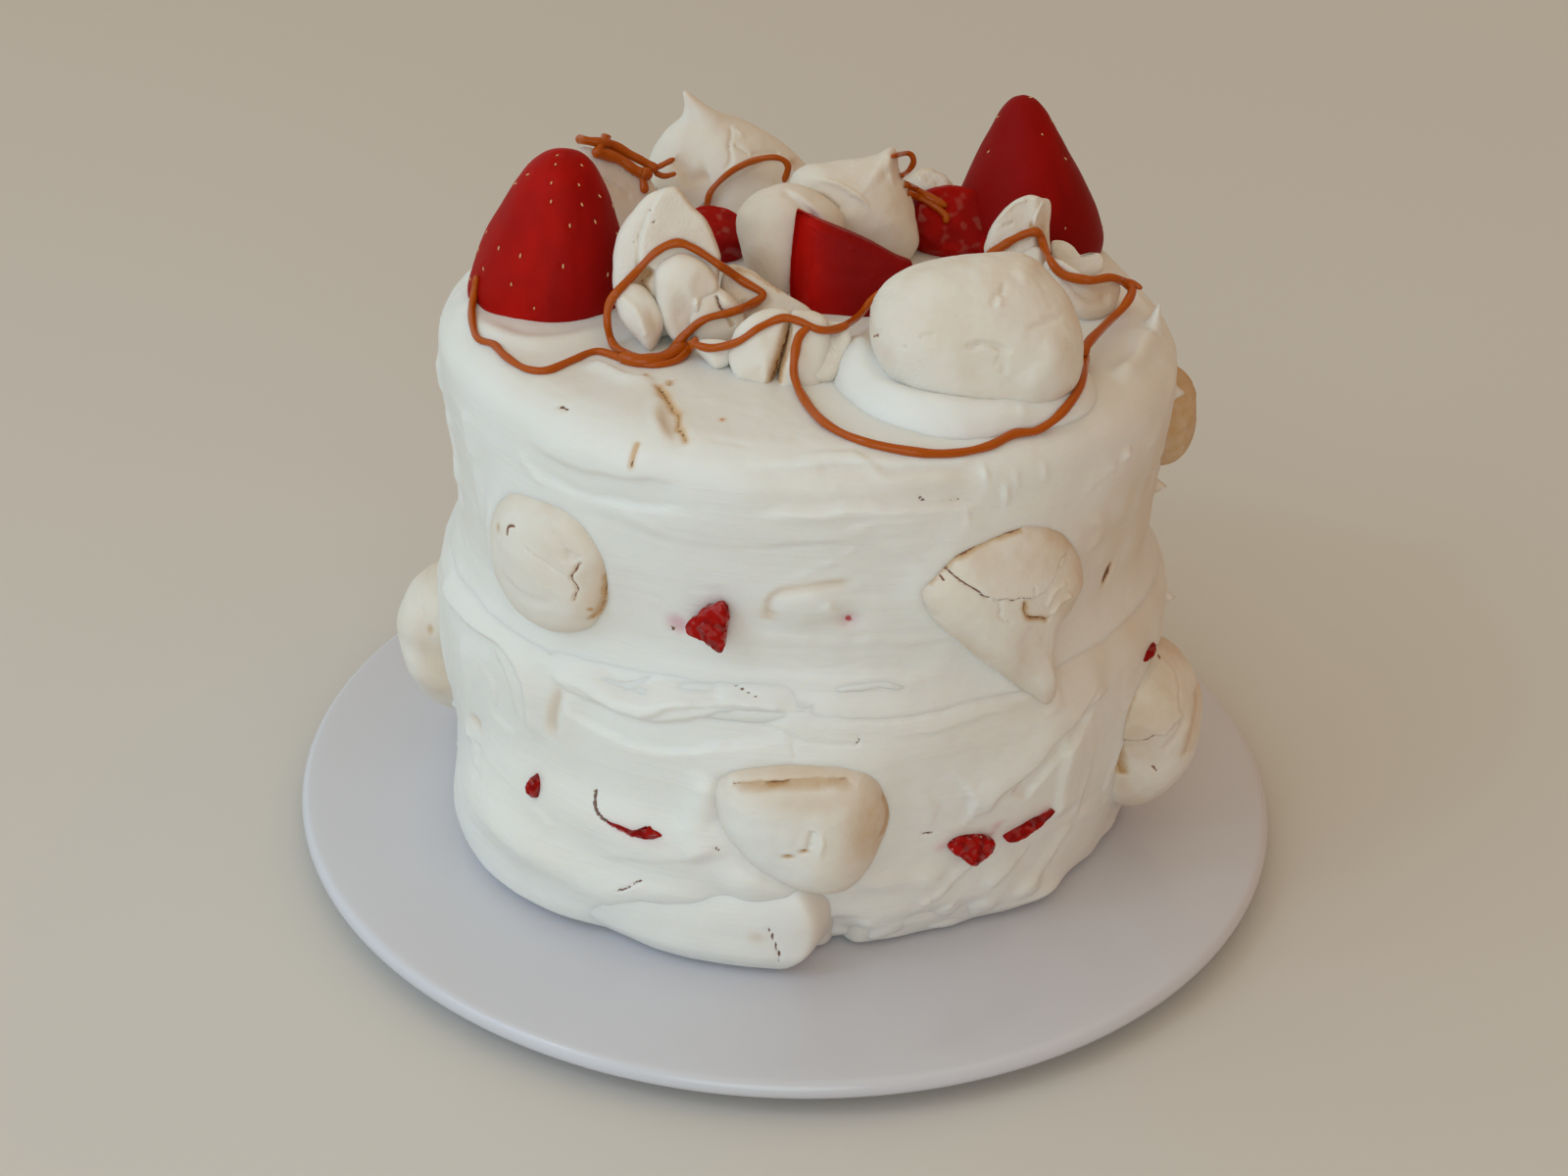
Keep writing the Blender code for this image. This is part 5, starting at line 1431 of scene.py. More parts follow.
# pieces that show one face: middle, the way the face looks, front and back depth, outline, marks
facePieces = {
    "kiss_front": {
        "middle": (44, -52, 186), "rise": 40, "turn": -90, "deep": (18, 23), "levels": 7,
        "outline": [(-27.3, 0.5), (-25.5, 8.5), (-17, 15.5), (1, 19.6), (13, 19.4), (22.5, 11.5), (27.5, 2),
                    (28.6, -6), (26.5, -14.5), (19.5, -20.5), (8, -23.5), (-4, -23), (-15.5, -19),
                    (-24, -11)],
        "marks": [
            ("swell", (0, 0), (26, 20), 0, 0, 4, {"toast": 0.12}),
            ("line", [(-5, -8.6), (-3, -9.2), (0.5, -8.4), (4, -8.6), (7, -9.6), (9.5, -10.6)],
             0.8, 1.1, 0.3, {"dark": 0.3}),
            ("swell", (5, -15.5), (10, 6), -1.3, -10, 3),
            ("line", [(4.5, -11.5), (7, -13), (6.5, -15.5)], 1.0, 0.5),
            ("line", [(20, -3), (19.4, -9), (17, -15), (12, -20)], 3.0, -0.8, 0.3),
            ("line", [(-15, -7), (-13.5, -6.4), (-11, -6.2)], 0.6, 0.5, {"dark": 0.3}),
            ("line", [(-18.9, -8), (-17.6, -9.4)], 0.6, 0.4, {"dark": 0.4}),
            ("swell", (-5.5, -1.5), (0.5, 0.4), -0.2, {"dark": 0.42}),
            ("line", [(6.4, 9), (5.5, 5), (3.5, 3), (3, 0)], 0.9, 0.7, 0.3, {"dark": 0.14}),
            ("line", [(4.8, 4.4), (4.6, 1)], 0.9, -0.5),
            ("line", [(15.5, 19), (12.6, 13), (9, 8.5)], 2.8, -1.1, 0.3),
            ("line", [(20, 3), (21.2, 1), (18, -1), (14.5, -3), (11, -4.5)], 1.0, 0.7, 0.3, {"dark": 0.14}),
            ("line", [(-28, -3.2), (-24.6, -4.4)], 1.1, 1.8, 0.05, {"dark": 0.45}),
            ("line", [(-27.5, -11), (-25, -15.5)], 0.9, 0.8, {"dark": 0.4}),
            # painted shade: the right side, which falls off into shade, tinted toast
            ("swell", (24, -4), (5, 14), 0.0, 0, {"toast": 0.22}),
            ("swell", (-6, 8), (13, 8), 0.7),
            ("line", [(-20, 4), (-8, 2), (4, 5)], 4, 0.35, 0.4)]},
    "shard_upright": {
        "middle": (-38, -20, 188.5), "rise": 20, "turn": -92, "deep": (7, 11), "levels": 7,
        "outline": [(0.5, 19.5), (-5, 17.5), (-9, 13.5), (-12.5, 9), (-14, 3.5), (-14.5, -3.5), (-14, -9),
                    (-10.5, -17), (-3.5, -21), (5.5, -19), (13, -10), (14.5, -1), (13.5, 4), (10, 11),
                    (6.5, 14.5), (3, 18.5)],
        "marks": [
            ("shear", (0, 0, 4.6), (0.10, 0.06, 1), 0.5, 0.15, 3),
            ("step", [(-1, 20), (-5, 12), (-7, 5), (-7, -2), (-8, -12)], 0.9, 0.5),
            ("line", [(-4, 13), (-7, 6), (-7, 0), (-7.4, -5)], 0.7, 0.5, 0.2, {"dark": 0.12}),
            ("swell", (-4.6, 13), (0.6, 0.45), -0.5, {"dark": 0.75}),
            ("swell", (-3.6, 10), (0.9, 0.5), -0.6, 20, {"dark": 0.75}),
            ("swell", (-7.6, 6), (0.4, 0.9), -0.4, {"dark": 0.5}),
            ("swell", (-8.6, 4.3), (0.4, 0.5), -0.4, {"dark": 0.5}),
            ("swell", (-11.4, -3), (0.5, 0.5), -0.3, {"dark": 0.3}),
            ("line", [(-3.6, -1.5), (-6.2, -6), (-5.4, -10), (-2.5, -15)],
             1.4, 3.0, {"toast": 1.0, "juice": 0.3, "dark": 0.3}),
            ("swell", (4, 6), (8, 6), 0.6, 0, {"toast": 0.12})]},
    "shard_petal_b": {
        "middle": (-34, -28, 182), "rise": 25, "turn": -90, "deep": (7, 8), "levels": 6,
        "outline": [(-6.4, 6.4), (-3.4, 9.4), (0.5, 10.6), (5.5, 9), (9.6, 5), (10.4, 1), (6.4, -3.4),
                    (5, -8), (3, -12.5), (-0.5, -13), (-3.6, -9.5), (-5.6, -5), (-6.6, -0.5)],
        "marks": [
            ("line", [(4.6, -0.5), (5.6, -5), (7.4, -10)], 1.0, -1.6, 0.2),
            ("swell", (1.4, -7), (3.2, 6), -1.6, 12, 3, {"toast": 0.28}),
            ("swell", (6.6, 1.6), (3, 4.4), -1.2, 0, 3, {"toast": 0.14}),
            ("swell", (0, 5), (5, 4), 0.5)]},
    "shard_petal_a": {
        "middle": (-45, -32.5, 176.5), "rise": 30, "turn": -95, "deep": (5.5, 7), "levels": 6,
        "outline": [(-7, 6), (-3.5, 9), (1, 8.5), (5, 4), (7, -1), (4.6, -8.4), (1, -6.4), (-4, -1.4)],
        "marks": [
            ("line", [(-5, 5), (0, 1.5), (4, -6)], 1.2, -0.6),
            ("swell", (4.6, -1), (1.6, 4), -0.8, 20, {"toast": 0.5})]},
    "shard_petal_c": {
        "middle": (-26, -30, 177), "rise": 30, "turn": -88, "deep": (5, 7), "levels": 6,
        "outline": [(-7.6, 6), (-3, 8.5), (3, 7.4), (8, 3), (9.4, -3.5), (4, -8), (-3, -8), (-6.6, -2)],
        "marks": [
            ("line", [(1.8, 5.4), (2.8, 2.6), (5, -0.5)], 0.5, 1.7, {"dark": 0.7}),
            ("swell", (-1.5, 0.5), (3.6, 4), 1.1, 0, 3),
            ("line", [(3.8, 1), (6.6, -3.4)], 0.5, 0.9, {"dark": 0.35, "toast": 0.5}),
            ("swell", (5, 3.4), (2.4, 1.8), 1.2, -30)]},
    "shard_wedge": {
        "middle": (-12.5, -21, 177.5), "rise": 38, "turn": -84, "deep": (4.5, 8), "levels": 6,
        "outline": [(-10.5, 5), (-8, 10), (-2.5, 8.6), (2, 5.6), (7.4, 1.8), (14, -3.2), (8, -8),
                    (0.5, -11), (-5, -10), (-9.4, -3.4)],
        "marks": [
            ("shear", (0, 0, 2.9), (0.05, 0.15, 1), 0.4, 0.15, 9),
            ("line", [(-6, -1), (-1, -2), (4, 0)], 1.6, 0.7, {"toast": 0.25}),
            ("line", [(-7.6, 9), (-2.5, 7.8), (2, 5), (7, 1.6)], 0.6, 0.5, {"toast": 0.6}),
            ("swell", (0, 0), (10, 8), 0, {"toast": 0.2})]},
    "shard_nugget_a": {
        "middle": (-10, -47.5, 175), "rise": 32, "turn": -95, "deep": (6.5, 7), "levels": 6,
        "outline": [(-10, -1), (-8.5, 5), (-4.5, 9.5), (0.5, 11.5), (4.6, 11.4), (6.2, 10), (5.6, 4.4),
                    (4.4, -0.6), (3, -6), (1.6, -11), (-2.5, -9.8), (-7.4, -7.6)],
        "marks": [
            ("line", [(6, 10), (5.4, 4.4), (4.2, -0.6), (2.8, -6), (1.5, -10.6)],
             0.8, 0.9, 0.05, {"toast": 1.0, "dark": 0.5}),
            ("swell", (-0.6, -5), (0.5, 0.4), -0.3, {"dark": 0.6}),
            ("swell", (-3, 3), (3, 3), 0.8, 0, 3)]},
    "shard_nugget_b": {
        "middle": (-3.6, -49, 174.4), "rise": 32, "turn": -85, "deep": (6.2, 7), "levels": 6,
        "outline": [(0.4, 12), (5, 12.4), (9.5, 10), (10.4, 3), (9, -5.5), (6, -10), (0.5, -11),
                    (-3.6, -10), (-3.2, -4.5), (-1.8, 1), (-0.4, 7)],
        "marks": [
            ("line", [(-0.2, 9), (-1.6, 1), (-3, -3.5), (-3.4, -8)],
             0.6, 0.8, 0.05, {"toast": 1.0, "dark": 0.2}),
            ("swell", (1, -2), (2.5, 4), 0.6, 0, 3)]},
    "shard_flat": {
        "middle": (6, -48.5, 174.5), "rise": 50, "turn": -88, "deep": (4.4, 6), "levels": 6,
        "outline": [(-6, 9), (-1, 10), (4.5, 9.5), (6.4, 4.5), (4.4, -1.5), (2, -6.5), (-2.5, -7.6),
                    (-5.5, -6), (-6.5, 1)],
        "marks": [
            ("shear", (0, 0, 3), (-0.1, 0.1, 1), 0.5, 0.3, 4),
            ("line", [(-4.6, 8), (-5, 0), (-3, -6)], 0.8, 0.7, {"toast": 0.5})]},
    "kiss_centre_left": {
        "middle": (-8, 14, 183), "rise": 32, "turn": -95, "deep": (13, 15), "levels": 6,
        "outline": [(-12.5, 3), (-10, 8.5), (-5, 12.5), (1.5, 14.5), (10, 12.5), (17.5, 6), (17.5, -5.5),
                    (11, -15), (4.5, -20), (-2.5, -17), (-9.5, -8.5)],
        "marks": [
            ("line", [(-1, 12), (5, 8), (10, 3.4), (13, -1)], 1.3, 1.6, 0.2, {"dark": 0.12, "toast": 0.1}),
            ("line", [(9, 5), (12, 1.4), (13.6, -2.6)], 0.5, 1.2, {"dark": 0.45}),
            ("line", [(-3, 13), (3, 10), (8, 7.4), (14, 3)], 1.6, -1.1, 0.3),
            ("swell", (-4, -6), (8, 8), 0.5),
            ("swell", (-2, -10), (9, 6), 0.0, {"toast": 0.35}),
            ("swell", (0, 0), (24, 24), 0.0, {"toast": 0.2})]},
    "kiss_centre_right": {
        "middle": (13, 30, 185.5), "rise": 30, "turn": -86, "deep": (14, 15), "levels": 7,
        "outline": [(-18.5, 8), (-15, 11.5), (-6.5, 13), (2, 14), (7, 15.4), (10.6, 17.4), (12.4, 16),
                    (13, 11), (15.6, 5.5), (17.6, -2), (18.5, -12), (9, -19), (-5, -19.5), (-15.5, -10),
                    (-19.5, -0.5)],
        "marks": [
            ("line", [(9.8, 16), (9.6, 10), (11, 4)], 1.3, -1.0, 0.3),
            ("swell", (-7, 1.5), (7.5, 3.2), -1.2, -28, 4),
            ("line", [(-14, 7), (-6, 4.6), (1, 0.5), (4, -4)], 0.8, -0.8, 0.3),
            ("line", [(-15, 3), (-9, 1), (-5, -3)], 0.6, 1.4, {"dark": 0.3}),
            # painted warm light and shade: the right side tinted toast
            ("swell", (13, -2), (6, 13), 0.0, {"toast": 0.35}),
            ("swell", (0, 0), (24, 24), 0.0, {"toast": 0.2})]},
    "shard_leaf": {
        "middle": (60.5, 14, 187.5), "rise": 22, "turn": -95, "deep": (5.5, 7), "levels": 6,
        "outline": [(-10, -7.5), (-9.4, -2.5), (-7.4, 2.5), (-3.5, 7), (1, 9.4), (4.6, 9), (7.6, 7.6),
                    (8, -0.5), (8.4, -8.5), (2, -12), (-5, -11.5)],
        "marks": [
            ("shear", (0, 0, 3.4), (0, 0.1, 1), 0.4, 0.25, 12),
            ("shear", (4.5, 2, 2), (1, 0.1, 0.9), 0.3, 0.4, 14),
            # painted warm light: the right side tinted toast
            ("swell", (7, -3), (3, 9), 0, 0, 3, {"toast": 0.8}),
            ("line", [(-8, 1), (-4, 6), (1, 8.4)], 0.9, -0.8),
            ("line", [(5.6, 8.4), (3.6, 3.4), (3, 0)], 0.5, -0.7),
            ("swell", (2.6, 1), (0.7, 1), -0.7, {"toast": 1.0, "dark": 0.2}),
            ("line", [(-6, 0), (-2, 1.5)], 0.6, 0.4, {"dark": 0.2})]},
    "shard_block": {
        "middle": (63, 8, 179), "rise": 30, "turn": -80, "deep": (5, 6), "levels": 5,
        "outline": [(-7.5, -2), (-3, 3.2), (1, 5), (4.6, 3.4), (6.4, -1), (4.6, -6), (-0.5, -5)],
        "marks": [
            ("shear", (-3, 0, 3), (-0.5, 0.2, 1), 0.4, 0.3, 5),
            ("swell", (5, -1), (3.4, 5), 0.0, 0, 3, {"toast": 1.0})]},
    "shard_long": {
        "middle": (78, -2, 176.5), "rise": 42, "turn": -78, "deep": (5, 7), "levels": 6,
        "outline": [(-10.5, 8.5), (-7, 8), (-3, 4), (2.5, 2.6), (8, 3), (10, -1), (7.5, -6), (3.5, -8.5),
                    (-1.5, -8.6), (-5, -6), (-8.8, 1)],
        "marks": [
            ("line", [(-9, 6), (-5, 0), (0, -4.5), (6, -4)], 1.4, 0.8, {"toast": 0.2}),
            ("line", [(-9, 7.5), (-4, 3.4), (3, 1), (8, 1.4)], 1.2, -0.6),
            ("swell", (3, -3), (9, 7), 0, {"toast": 0.6}),
            ("step", [(-8, 4), (-2, 0), (4, -1), (9, 1)], 0.9, 0.4)]},
    "shard_crust": {
        "middle": (77, 16.5, 178.5), "rise": 30, "turn": -90, "deep": (3.4, 5), "levels": 5,
        "outline": [(-7.4, 4), (-4.4, 4.4), (-1.4, 3), (0.4, 0.9), (1.6, 0.4), (4.2, 1.4), (7, 0.5),
                    (7.4, -4), (1.5, -6), (-3, -5), (-6.5, -1)],
        "marks": [
            ("shear", (0, 0, 1.6), (0, 0.2, 1), 0.3, 0.5, 7)]},
    "shard_lean": {
        "middle": (-56, 46, 183), "rise": 25, "turn": -78, "deep": (6, 9), "levels": 6,
        "outline": [(-14.5, 9.5), (-9.5, 11.5), (-2, 9), (5, 6), (10, -0.5), (10, -7), (5.5, -15),
                    (-2, -15), (-8, -6), (-11.5, 2)],
        "marks": [
            ("shear", (0, 0, 4.4), (0.1, 0.1, 1), 0.5, 0.2, 8),
            ("swell", (0, -2), (10, 12), 0.0, {"toast": 0.45}),
            ("line", [(-10, 4), (-4, 1), (3, -4)], 0.7, 0.7, {"toast": 0.4})]},
}
berryLumps = {
    "strawberry_back": ((43, 40, 177), (15.5, 12, 11.5), (0, 8, 0), (((0, -4, 5), (0.1, -1, 0.9)),)),
    "strawberry_middle": ((-27, 29, 175), (10, 9, 10), (0, 0, 0), (((0, 0, 6), (0.3, -0.3, 1)),)),
}


def makeTopLump(node):
    centre, half, turns, breaks, levels = topLumps[node]
    lump = Lump(node, levels)
    unit = lump.ball.copy()
    seed = seedOf(node)
    unit *= (1 + 0.10 * wander(unit, 0.7, seed) + 0.04 * wander(unit, 0.3, seed + 1))[:, None]
    broken = np.zeros(len(unit))
    for direction, depth in breaks:
        normal = np.array(direction, float) / np.linalg.norm(direction)
        pressed = cutFlat(unit, normal * depth, normal, 0.025)
        broken = np.maximum(broken, soften(0.02, 0.09, pressed))
    local = unit * np.array(half)
    coarse = 0.45 * wander(local, 2.6, seed + 1) + 0.2 * wander(local, 1.1, seed + 2)
    rough = 0.28 * wander(local, 5, seed) + broken * coarse
    local += lump.ball * rough[:, None]
    lump.tint("porous", broken)
    lump.tint("toast", (1 - broken) * 0.35 * soften(-0.2, 0.6, wander(local, 9, seed + 3)))
    lump.finish(wordsOf(node), turned(local, turns, centre), [node])


def makeBerryLump(node):
    centre, half, turns, cuts = berryLumps[node]
    lump = Lump(node, 6)
    seed = seedOf(node)
    local = lump.ball * np.array(half)
    face = np.zeros(len(local))
    for point, normal in cuts:
        face = np.maximum(face, soften(0.3, 1.5, cutFlat(local, point, normal, 0.5)))
    local += lump.ball * (0.3 * wander(local, 6, seed) + 0.12 * wander(local, 2, seed + 1))[:, None]
    setPoints(lump.mesh, turned(local, turns, centre))
    paint(lump.mesh, "deep", 0.35 + 0.5 * soften(-0.3, 0.6, wander(local, 7, seed + 2)))
    paint(lump.mesh, "wet", soften(0.25, 0.5, wander(local, 3, seed + 3)))
    addPiece(wordsOf(node), lump.mesh, berryFlesh, [node])


def makeFacePiece(node):
    p = facePieces[node]
    lump = Lump(node, p["levels"])
    seed = seedOf(node)
    lump.spread(reachOf(lump.turn, p["outline"]), *p["deep"], 0.6 if node.startswith("shard") else 0.92)
    for amount, size, step in ((0.35, 8, 0), (0.10, 3, 1), (0.03, 1.3, 2)):
        lump.roughen(amount, size, seed + step)
    lump.tint("toast", 0.16 * soften(-0.2, 0.7, wander(lump.local, 9, seed + 3)))
    lump.mark(p["marks"])
    lump.finish(wordsOf(node), lump.seated(p), [node])


looseBits = {  # crumbs without a node of their own
    "slotCrumb": {
        "middle": (-43, -27.5, 180), "rise": 25, "turn": -90, "deep": (1.6, 1.6),
        "outline": [(-1.9, 0.4), (-1, 2), (1, 1.9), (1.9, 0.2), (1.3, -1.7), (-0.8, -1.9)]},
    "pileTriangle": {
        "middle": (-24, -45, 173.5), "rise": 35, "turn": -90, "deep": (4.0, 4.0),
        "outline": [(-5.5, 1.5), (-1.5, 3), (4.5, 2.5), (7.5, 2.5), (5, -2), (3.5, -4), (0.5, -5),
                    (-2.5, -2)]},
}


def makeLooseBit(name):
    p = looseBits[name]
    lump = Lump(name, 5)
    lump.spread(reachOf(lump.turn, p["outline"]), *p["deep"], 0.6)
    lump.roughen(0.15, 3, len(name))
    lump.finish(name, lump.seated(p), ())


wedgeLook = {"middle": (12, -7, 181), "rise": 14, "turn": -93, "deep": (4, 15),
             "outline": [(-16, 14.5), (-14.5, 15.8), (-9.5, 14), (3, 9.6), (12, 5.4), (17, 3.2),
                         (14.5, -1.5), (9.5, -8), (4, -14.5), (-4, -16.5), (-12, -14.5), (-16.4, -7)]}


def makeWedge():
    # cut piece of strawberry: flat cut face, a brighter skin strip on its left and a ragged upper edge; the
    # face darkens towards its right as painted shade
    p = wedgeLook
    lump = Lump("strawberry_wedge", 6)
    lump.spread(reachOf(lump.turn, p["outline"]), *p["deep"], 0.6)
    u, v = lump.flatten.T.copy()
    lump.local[:, 2] = np.minimum(lump.local[:, 2], 3.0 + 0.25 * wander(lump.local, 5, 3))
    lump.roughen(0.08, 4, 5)
    lump.local[:, 2] -= 5.0 * soften(-9.5, -15.5, u) * lump.facing  # the strip turns away
    upperEdge = v - 12 + 0.36 * (u + 16)
    lump.local[:, 1] += 0.5 * wander(lump.local, 2.2, 8) * soften(-2.5, 0, upperEdge) * lump.facing
    lump.line([(-15.5, 15), (-9.5, 13.4), (3, 9), (14, 4)], 0.7, 0.4)
    for at in ((6.5, -0.5), (-6, 3), (-4.4, 2), (-10, -6.5), (0.6, 7)):
        lump.swell(at, (0.5, 0.35), 0.25, 30)
    setPoints(lump.mesh, lump.seated(p))
    # the deep tone ramps up from the skin strip across the face: the strip's brighter red is its skin, the
    # darkening towards the right is painted shade
    paint(lump.mesh, "deep", soften(-13, 2, u + 0.15 * v) * 0.95 + 0.1 * wander(lump.local, 4, 6))
    paint(lump.mesh, "wet", 0 * u)
    addPiece("strawberryWedge", lump.mesh, berryFlesh, ["strawberry_wedge"])


chips = {  # angle, height, distance out, outline in millimetres across and up, darker share
    "chip_front_upper": (-104, 118, 104.5, [(-4.6, 0), (-1, 4.5), (1.5, 7), (5.4, 8.6), (7, 5), (6.6, -1),
                                            (5.6, -5.8), (1.5, -3.6), (-2.5, -2)], 0.35),
    "chip_front_left": (-112.4, 54.5, 111.2, [(-8, 0.4), (-5.6, 0.9), (-3.2, 0.9), (-0.4, 0.8), (2.2, 1.4),
                                              (4, 2.7), (5.6, 1.8), (8.2, 1), (6.6, -0.6), (3.4, -1.5),
                                              (0.4, -1.6), (-3.2, -1), (-6, -0.4)], 0.5),
    "chip_front_right_a": (-61, 44, 107.2, [(-9, 4.6), (-6, 6.4), (-1, 5.6), (4.6, 3.4), (5, 0),
                                            (1.5, -2.4), (-2, -3.4), (-5.4, 0.4), (-8, 2.4)], 0.3),
    "chip_front_right_b": (-51, 46.5, 107, [(-9, -1), (-4, 0.6), (0, 1.2), (4, 1.6), (8, 2.2), (3, -0.2),
                                            (-2, -1.2), (-6.5, -2.4)], 0.4),
    "chip_front_low": (-130.3, 54, 110.8, [(0, 3.8), (1.4, 2.2), (2.2, -1.4), (-0.2, -3), (-1.9, -0.9),
                                           (-1.3, 1.8)], 0.6),
    "chip_right": (-23.4, 80.4, 109.2, [(-4.4, -0.4), (-1.6, 1.5), (2, 1.9), (4.4, 0.5), (2.8, -1.2),
                                        (-2, -1.4)], 0.85),
    "chip_back_a": (47, 101, 102.5, [(-5, 3), (0, 5), (5, 4), (5.4, -1), (1, -5), (-4, -3)], 0.3),
    "chip_back_b": (77, 44, 106.6, [(-7, 1), (-2, 3), (4, 3), (7, 0), (3, -2.6), (-3, -2.4)], 0.5),
    "chip_back_c": (108, 88, 107.4, [(-5, -3), (-3.4, 2), (1.4, 5.4), (3.6, 1), (5.4, -3.2), (0.4, -2.6)],
                    0.35),
    "chip_back_d": (137, 44, 106.6, [(-7, 0), (-3, 3), (3, 2.6), (7, 1), (4, -2.6), (-2, -3)], 0.45),
}


looseChips = {"chip_front_low"}  # has no node of its own


def makeChip(node):
    angle, height, reach, outline, dark = chips[node]
    lump = Lump(node, 6)
    middle = np.mean(outline, axis=0)  # the ball grows round the middle of its outline
    lump.spread(reachOf(lump.turn, np.array(outline) - middle), 2.4, 4.0, 0.55)
    lump.local[:, :2] += middle
    seed = seedOf(node)
    for amount, size in ((0.4, 3.4), (0.26, 1.3)):
        lump.roughen(amount, size, seed)
    local = lump.local
    grain = soften(-0.1, 0.6, wander(local, 2.6, seed + 2))
    turn = angle + np.degrees(local[:, 0] / chipRadius)
    setPoints(lump.mesh, sidePoint(turn, reach + local[:, 2], height + local[:, 1]))
    paint(lump.mesh, "deep", dark + 0.7 * grain)
    paint(lump.mesh, "wet", soften(0.0, 0.25, wander(local, 1.8, seed + 4)))
    # painted glints: small pale specks standing in for highlights on the wet chip
    paint(lump.mesh, "paintedGlint", soften(0.8, 0.9, wander(local, (1.1, 0.5, 1.1), seed + 5)))
    addPiece(wordsOf(node), lump.mesh, berryFlesh, () if node in looseChips else [node])


for node in topLumps:
    makeTopLump(node)
for node in facePieces:
    makeFacePiece(node)
for name in looseBits:
    makeLooseBit(name)
for node in berryLumps:
    makeBerryLump(node)
makeWedge()
for node in chips:
    makeChip(node)
print("broken pieces made")


# poured strands of caramel: thickness, then (across, back, up) points; they settle on what lies below
strands = {
    "frontLeft": (1.25, [
        (-93, 2, 172), (-92, -12, 172), (-91, -24, 171.5), (-88, -37, 171), (-83, -41, 171),
        (-79, -48, 171), (-73, -54, 170.5), (-67, -55.5, 171), (-61, -51, 172), (-55, -46, 172.5),
        (-48, -49, 172), (-41, -51, 171.5), (-34, -49, 172), (-30, -42, 173), (-29, -38, 174)]),
    "loop": (1.35, [
        (-41, -49.5, 172), (-47, -47, 172.5), (-51, -42, 173), (-53, -36, 177), (-52, -33, 182),
        (-46, -32, 189), (-40.5, -31, 195), (-35, -30, 197.5), (-30, -29, 195.5), (-23, -27, 190),
        (-17, -24, 184.5), (-12, -23, 181), (-13, -26, 180), (-19, -30, 178.5), (-27, -34, 177.5),
        (-32, -38, 174.5), (-36, -45, 172.5), (-41, -49.5, 172.3)]),
    "middle": (1.25, [
        (-31, -41, 174), (-25, -46.5, 175), (-18, -46.5, 177), (-12, -43, 180), (-6, -41, 182),
        (-1, -41, 181), (4, -41, 179), (9, -38.5, 178.5), (14, -32, 179), (17.5, -24, 180),
        (20.5, -19, 181)]),
    "pool": (2.3, [(-49, -48.5, 172.5), (-43, -51, 172.5), (-37, -49.5, 173), (-31, -43, 174)]),
    "frontSweep": (1.4, [
        (1, -41, 180), (-1.5, -46, 179), (-2.4, -52, 177), (-2.4, -58, 173.5), (0.5, -67, 171),
        (6, -78, 170), (15, -86, 169.5), (28, -90, 169), (38, -90, 169), (47, -86.5, 169.5),
        (54, -80, 170), (60, -77.5, 170), (66, -70.5, 171), (72, -57, 172), (75, -43, 173),
        (75, -35, 174)]),
    "right": (1.5, [
        (50, 3, 183), (54, 6.5, 184.5), (58, 9.5, 186), (62, 11, 187.4), (65, 10.5, 187.4),
        (67.5, 6, 183), (71.5, 1.5, 179.5), (79, -1, 179), (86, 2.5, 178.5), (91, -1, 177),
        (88.5, -11, 176.5), (83, -20, 175), (76.5, -33, 174.5), (75, -39, 173.5)]),
    "rightTail": (1.1, [(88, 1.5, 178), (91, 0.5, 178), (94, -1, 177)]),
    "backLeft": (1.7, [
        (-69, 49, 196), (-65, 49, 195.4), (-59, 49, 194.6), (-53, 49, 191.6), (-48, 49, 189),
        (-45, 49, 187)]),
    "backLeftBelow": (2.0, [
        (-64, 48, 192.6), (-61, 48, 192), (-56, 48, 190.4), (-51, 48, 187), (-46.5, 48, 186)]),
    "backLeftKnob": (1.7, [(-62.5, 48, 193), (-60.5, 49, 196), (-60, 49.5, 197.6)]),
    "prongUpper": (0.95, [(-46, 49, 187.5), (-43, 49.5, 189), (-40, 50, 190.6)]),
    "prongLower": (1.0, [(-46, 49, 186.5), (-43, 49, 185.4), (-39.5, 49.5, 186.2)]),
    "prongFoot": (1.5, [(-50, 48, 188), (-49, 47, 184), (-48.5, 46, 181)]),
    "backKiss": (1.15, [
        (-30.5, 54, 174), (-29, 53, 180), (-23, 52.5, 186.5), (-16, 53, 190), (-10, 54, 190.6),
        (-6.6, 54.5, 188), (-7.6, 54, 183)]),
    "centreLoop": (1.0, [
        (23.5, 42, 197), (28.5, 43, 197.6), (30, 43, 195), (28, 43, 191.6), (24, 42, 190)]),
    "centreLong": (1.5, [(22.5, 41, 191), (28, 41.5, 188.5), (34, 41.5, 185.4), (40.5, 41, 182.6)]),
    "centreLower": (1.2, [
        (23, 40, 189), (29, 40.5, 186.4), (35, 41, 183.6), (40, 41, 180), (40.5, 40.5, 177.5)]),
}


strandScale = 0.88
pourFrom = np.array([0, -650, 455])  # the strands come to lie on what stands in the way from here
# the search starts this far before the path,
# and a strand lies a share of its thickness out and hangs over deeper gaps
settling = {"before": 14, "reach": 30.0, "rest": 0.55, "steepest": 0.4, "gap": 9, "passes": 4, "blur": 2.4}


def settleStrand(tree, path, thick):
    # lays the strand on the surface behind it and lets it span gaps
    s = settling
    line = softCurve(path, 10)
    way = line - pourFrom
    way /= np.linalg.norm(way, axis=1)[:, None]
    offset = np.zeros(len(line))
    limit = np.full(len(line), s["reach"])
    for i, (point, along) in enumerate(zip(line, way)):
        start = Vector(point - along * s["before"]) * mm
        place, normal, _, away = tree.ray_cast(start, Vector(along), s["reach"] * mm)
        if place is None:
            continue
        limit[i] = away / mm - s["before"] - thick * s["rest"] / max(s["steepest"], -np.dot(along, normal))
        offset[i] = limit[i] if limit[i] < s["gap"] else 0
    for _ in range(s["passes"]):
        offset = np.minimum(blurTable(offset, s["blur"]), limit)
    return line + way * offset[:, None]


